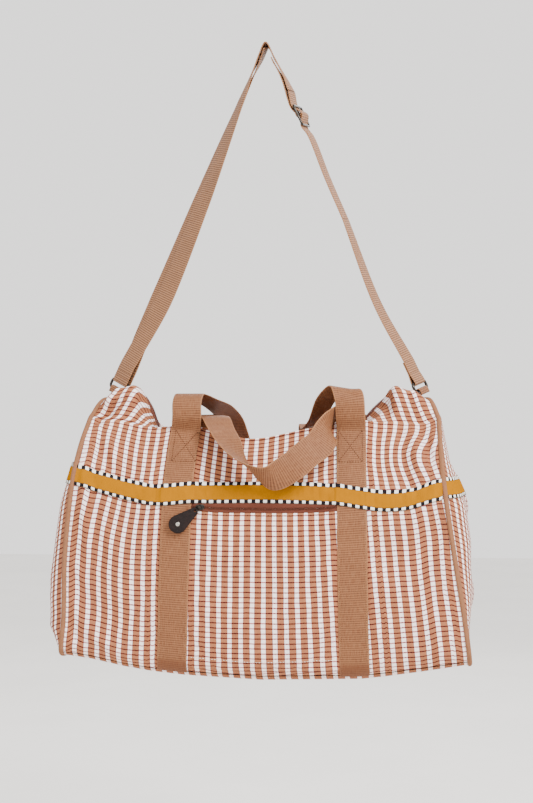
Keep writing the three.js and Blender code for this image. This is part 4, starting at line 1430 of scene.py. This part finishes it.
def rounded_loop(axes, centre, half, corner, wire, name, body_name, node):
    """A wire bent to a rectangle with rounded corners."""
    points = []
    for sw, st, begin in ((1, -1, -90), (1, 1, 0), (-1, 1, 90), (-1, -1, 180)):
        for a in np.linspace(begin, begin + 90, 5):
            w = sw * (half[0] - corner) + corner * math.cos(math.radians(a))
            t = st * (half[1] - corner) + corner * math.sin(math.radians(a))
            points.append(in_frame(axes, centre, w, t, 0))
    line = even(np.array(points + points[:1]), 121)[:120]
    metal_wire(name, line, wire, 16, body_name, node, True)


def fold_rows(axes, centre, way, legs, width, radius, close=1.0):
    """Mid-surface rows of a strip folded around a bar; its long legs may close on each other."""
    angles = np.linspace(0, math.pi, 13)
    path = [(-close, legs[0]), (-close, legs[0] * 0.45)]
    path += [(-math.cos(a), -math.sin(a) * radius) for a in angles]
    path += [(close, legs[1] * 0.45), (close, legs[1])]
    rows = []
    for n, t in path:
        rows.append([in_frame(axes, centre, w * width / 2, way * t, n * radius) for w in WEB_COLUMNS])
    return np.array(rows)


def strap_station(side, x, z, lift, turn, shift=0):
    """A centre, lifted out of the strap's face and shifted across it, and a width direction."""
    axes = strap_frame(side, turn)
    return np.concatenate([in_frame(axes, (x, 0, z), shift, 0, lift), axes[1]])


def strap_rows(stations):
    """Rows of the strap's webbing through stations."""
    table = np.array(stations)
    return twisted_rows(table, np.linspace(0, len(table) - 1, 24 * len(table)), 8, STRAP_WIDTH)


def strap_piece(name, rows, node, cup=0.0):
    """A piece of strap that hangs still."""
    place(webbing(name, rows, STRAP_WIDTH, cup=cup), STRAP, "strap", "webbing", node)


def bending_strap(name, rows, node, start, end):
    """A piece of strap, baked in place and left out of every body; start and end are not used."""
    obj = place(webbing(name, rows, STRAP_WIDTH), STRAP, None, "webbing", node)
    tuple(np.array(start) * MM)
    tuple(np.array(end) * MM)
    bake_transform(obj)


def build_rings():
    for side, label in SIDE_NAMES.items():
        axes = strap_frame(side, RING_TURN[side])
        centre = ring_centre(side)
        ring, fold = f"ring_{label}", f"strap_fold_{label}"
        rounded_loop(axes, centre, RING_HALF, 4.5, WIRE_RADIUS, f"ring_wire_{label}", ring, ring)
        lower = in_frame(axes, centre, 0, -RING_HALF[1], 0)
        rows = fold_rows(axes, lower, -1, TAB_LEGS, TAB_WIDTH, TAB_RADIUS)
        obj = webbing(f"ring_tab_web_{label}", rows, TAB_WIDTH, THIN_WEB)
        place(obj, WEBBING, "bag", "webbing", f"ring_tab_{label}")
        upper = in_frame(axes, centre, 0, RING_HALF[1], 0)
        leg = FOLD_LEG[side]
        close = 1.0 if side == LEFT else SEWN_GAP / TURN_RADIUS
        rows = fold_rows(axes, upper, 1, (leg, leg), STRAP_WIDTH, TURN_RADIUS, close)
        top, cut, low = (upper + axes[0] * t for t in (leg * 0.95, leg * 0.45, 1.0))
        for part, piece in (("out", rows[:2]), ("in", rows[-2:])):
            bending_strap(f"strap_leg_web_{part}_{label}", piece, fold, top, cut)
        bending_strap(f"strap_fold_web_{label}", rows[1:-1], fold, cut, low)


def fold_top(side):
    """Just below the top of a fold's legs."""
    axes = strap_frame(side, RING_TURN[side])
    return in_frame(axes, ring_centre(side), 0, RING_HALF[1] + FOLD_LEG[side] - 1, 0)


def on_left(sign, lean):
    """Stations up the left side of the strap: the outer run (sign 1) or the return run."""
    low = fold_top(LEFT)
    straight = in_frame(strap_frame(LEFT, RING_TURN[LEFT]), low, 0, 8, 0)
    rows = [strap_station(LEFT, x, z, sign * TURN_RADIUS, RING_TURN[LEFT])
            for x, _, z in (low, straight)]
    shifts = RETURN_SHIFT if sign < 0 else [0] * len(LEFT_LINE)
    return rows + [strap_station(LEFT, x, z, sign * lean, turn, shift)
                   for (x, z, turn), shift in zip(LEFT_LINE, shifts)]


def on_right(distance, lift):
    """A station at this distance up the strap from the adjuster's middle bar."""
    x = ADJUSTER_X - SLOPE * distance
    return strap_station(RIGHT, x, ADJUSTER_Z + STEEP * distance, lift, ADJUSTER_TURN)


def over_right(lift):
    """Stations from the hook down to the adjuster, above or below the middle of the strap."""
    return [strap_station(RIGHT, x, z, lift, turn) for x, z, turn in RIGHT_LINE]


def apex(z):
    """The one station over the hook."""
    return [np.array([0, 0, z, 0, 1, 0], float)]


def build_strap():
    bar_lift = ADJUSTER_WIRE + 0.3 + WEB_THICK / 2
    over_fold = TURN_RADIUS + WEB_THICK + 0.6
    outer = on_left(1, LAYER) + apex(4.4) + over_right(LAYER) + [on_right(36, LAYER)]
    strap_piece("strap_outer_webbing", strap_rows(outer), "strap_outer_run", 0.5)
    high = ADJUSTER_HALF[1]
    woven = [(35, LAYER), (high, -bar_lift), (0, over_fold), (-high, -bar_lift), (-30, 0),
             (-90, -3.5), (-SLIDE_RUN, -5)]
    rows = strap_rows([on_right(*q) for q in woven])
    over_bar = round(2 / (len(woven) - 1) * len(rows))
    for part, piece, fixed, moved in (("upper", rows[: over_bar + 1], 35, 16),
                                      ("lower", rows[over_bar:], -SLIDE_RUN, -18)):
        bending_strap(f"strap_slide_webbing_{part}", piece, "strap_slide_run",
                      on_right(fixed, 0)[:3], on_right(moved, 0)[:3])
    x, _, z = fold_top(RIGHT)
    lower = [on_right(-SLIDE_RUN + 0.2, -5), strap_station(RIGHT, 149, -345, 0, 0.3),
             strap_station(RIGHT, x, z, SEWN_GAP, RING_TURN[RIGHT])]
    strap_piece("strap_right_webbing", strap_rows(lower), "strap_right_run")
    back = on_left(-1, LAYER) + apex(1.0)
    strap_piece("strap_return_webbing_left", strap_rows(back), "strap_return_left", 0.3)
    back = over_right(-LAYER)
    back += [on_right(26, -bar_lift - WEB_THICK), on_right(14, -bar_lift - WEB_THICK - 1),
             on_right(6.5, -TURN_RADIUS - 0.4)]
    bending_strap("strap_return_webbing_right", strap_rows(back), "strap_return_right",
                  on_right(50, 0)[:3], on_right(14, 0)[:3])


def build_adjuster():
    axes = strap_frame(RIGHT, ADJUSTER_TURN)
    centre = np.array([ADJUSTER_X, 0, ADJUSTER_Z], float)
    rounded_loop(axes, centre, ADJUSTER_HALF, 3.0, ADJUSTER_WIRE, "adjuster_frame_wire", "adjuster",
                 "adjuster_frame")
    end = ADJUSTER_HALF[0] - ADJUSTER_WIRE + 0.4
    bar = [in_frame(axes, centre, w, 0, 0) for w in np.linspace(-end, end, 12)]
    metal_wire("adjuster_bar_wire", bar, ADJUSTER_WIRE, 16, "adjuster", "adjuster_bar")
    width = STRAP_WIDTH - 2
    rows = fold_rows(axes, centre, 1, (6, 2.0), width, TURN_RADIUS)
    obj = webbing("strap_end_webbing", rows, width, THIN_WEB)
    place(obj, STRAP, "adjuster", "webbing", "strap_sewn_end")


# ---- the room, lights and camera ---------------------------------------------------------------
FLOOR_HALF, FLOOR_Z = 6.0, -1.25


def build_stage():
    mesh = bpy.data.meshes.new("floor")
    corners = ((-1, -1), (1, -1), (1, 1), (-1, 1))
    mesh.from_pydata([(x * FLOOR_HALF, y * FLOOR_HALF, FLOOR_Z) for x, y in corners], [], [(0, 1, 2, 3)])
    floor = add_object("floor", mesh)
    paint = solid_material("pale_floor", linear(240, 238, 235), linear(236, 234, 231), 0.9, scale=3)
    floor.data.materials.append(paint)
    world = bpy.data.worlds.new("studio")
    world.use_nodes = True
    background = world.node_tree.nodes["Background"]
    background.inputs[0].default_value = linear(250, 248, 246)
    background.inputs[1].default_value = 1.8
    bpy.context.scene.world = world


def area_light(name, position, target, size, power, colour=(1, 1, 1)):
    light = bpy.data.lights.new(name, "AREA")
    light.size = size
    light.energy = power
    light.color = colour
    obj = add_object(name, light)
    obj.location = position
    aim = np.array(target, float) - np.array(position, float)
    flat = math.hypot(aim[0], aim[1])
    obj.rotation_euler = (math.atan2(flat, -aim[2]), 0, math.atan2(-aim[0], aim[1]))


def build_lights():
    area_light("key", (1.5, -1.7, 1.3), (0, 0, -0.5), 1.2, 150, (1.0, 0.98, 0.95))
    area_light("fill", (-1.8, -1.6, -0.1), (0, 0, -0.5), 1.8, 14)
    area_light("back_fill", (0.4, 2.2, 0.8), (0, 0, -0.5), 2.0, 26)


CAMERA_AZIMUTH = math.radians(5)
CAMERA_DISTANCE = 2.2
CAMERA_HEIGHT = -0.4745
CAMERA_LENS = 73.5


def build_camera():
    data = bpy.data.cameras.new("camera")
    data.lens = CAMERA_LENS
    data.sensor_width = 36
    camera = add_object("camera", data)
    camera.location = (CAMERA_DISTANCE * math.sin(CAMERA_AZIMUTH),
                       -CAMERA_DISTANCE * math.cos(CAMERA_AZIMUTH), CAMERA_HEIGHT)
    camera.rotation_euler = (math.pi / 2, 0, CAMERA_AZIMUTH)
    bpy.context.scene.camera = camera


# ---- build everything ---------------------------------------------------------------------
build_camera()
build_stage()
build_lights()
for canvas_face in (FRONT, BACK):
    SAG[canvas_face] = settle(canvas_face)
build_panels()
build_base()
build_ends()
build_lining()
build_piping()
build_handles()
build_bands()
build_pocket()
build_pocket_zip()
build_main_zip()
build_stitches()
slider_line, _ = pocket_line(POCKET_MIDDLE, 101, OVERLAY + 1.2 + 0.8)
slider_set("pocket", slider_line[7], (0, -1, 0), (1, 0, 0), (-0.78, -0.14, -0.61))
slider_set("main", (92, 0, -558.8), (0, 0, 1), (1, 0, 0), (-0.97, 0, 0.25))
build_rings()
build_strap()
build_adjuster()
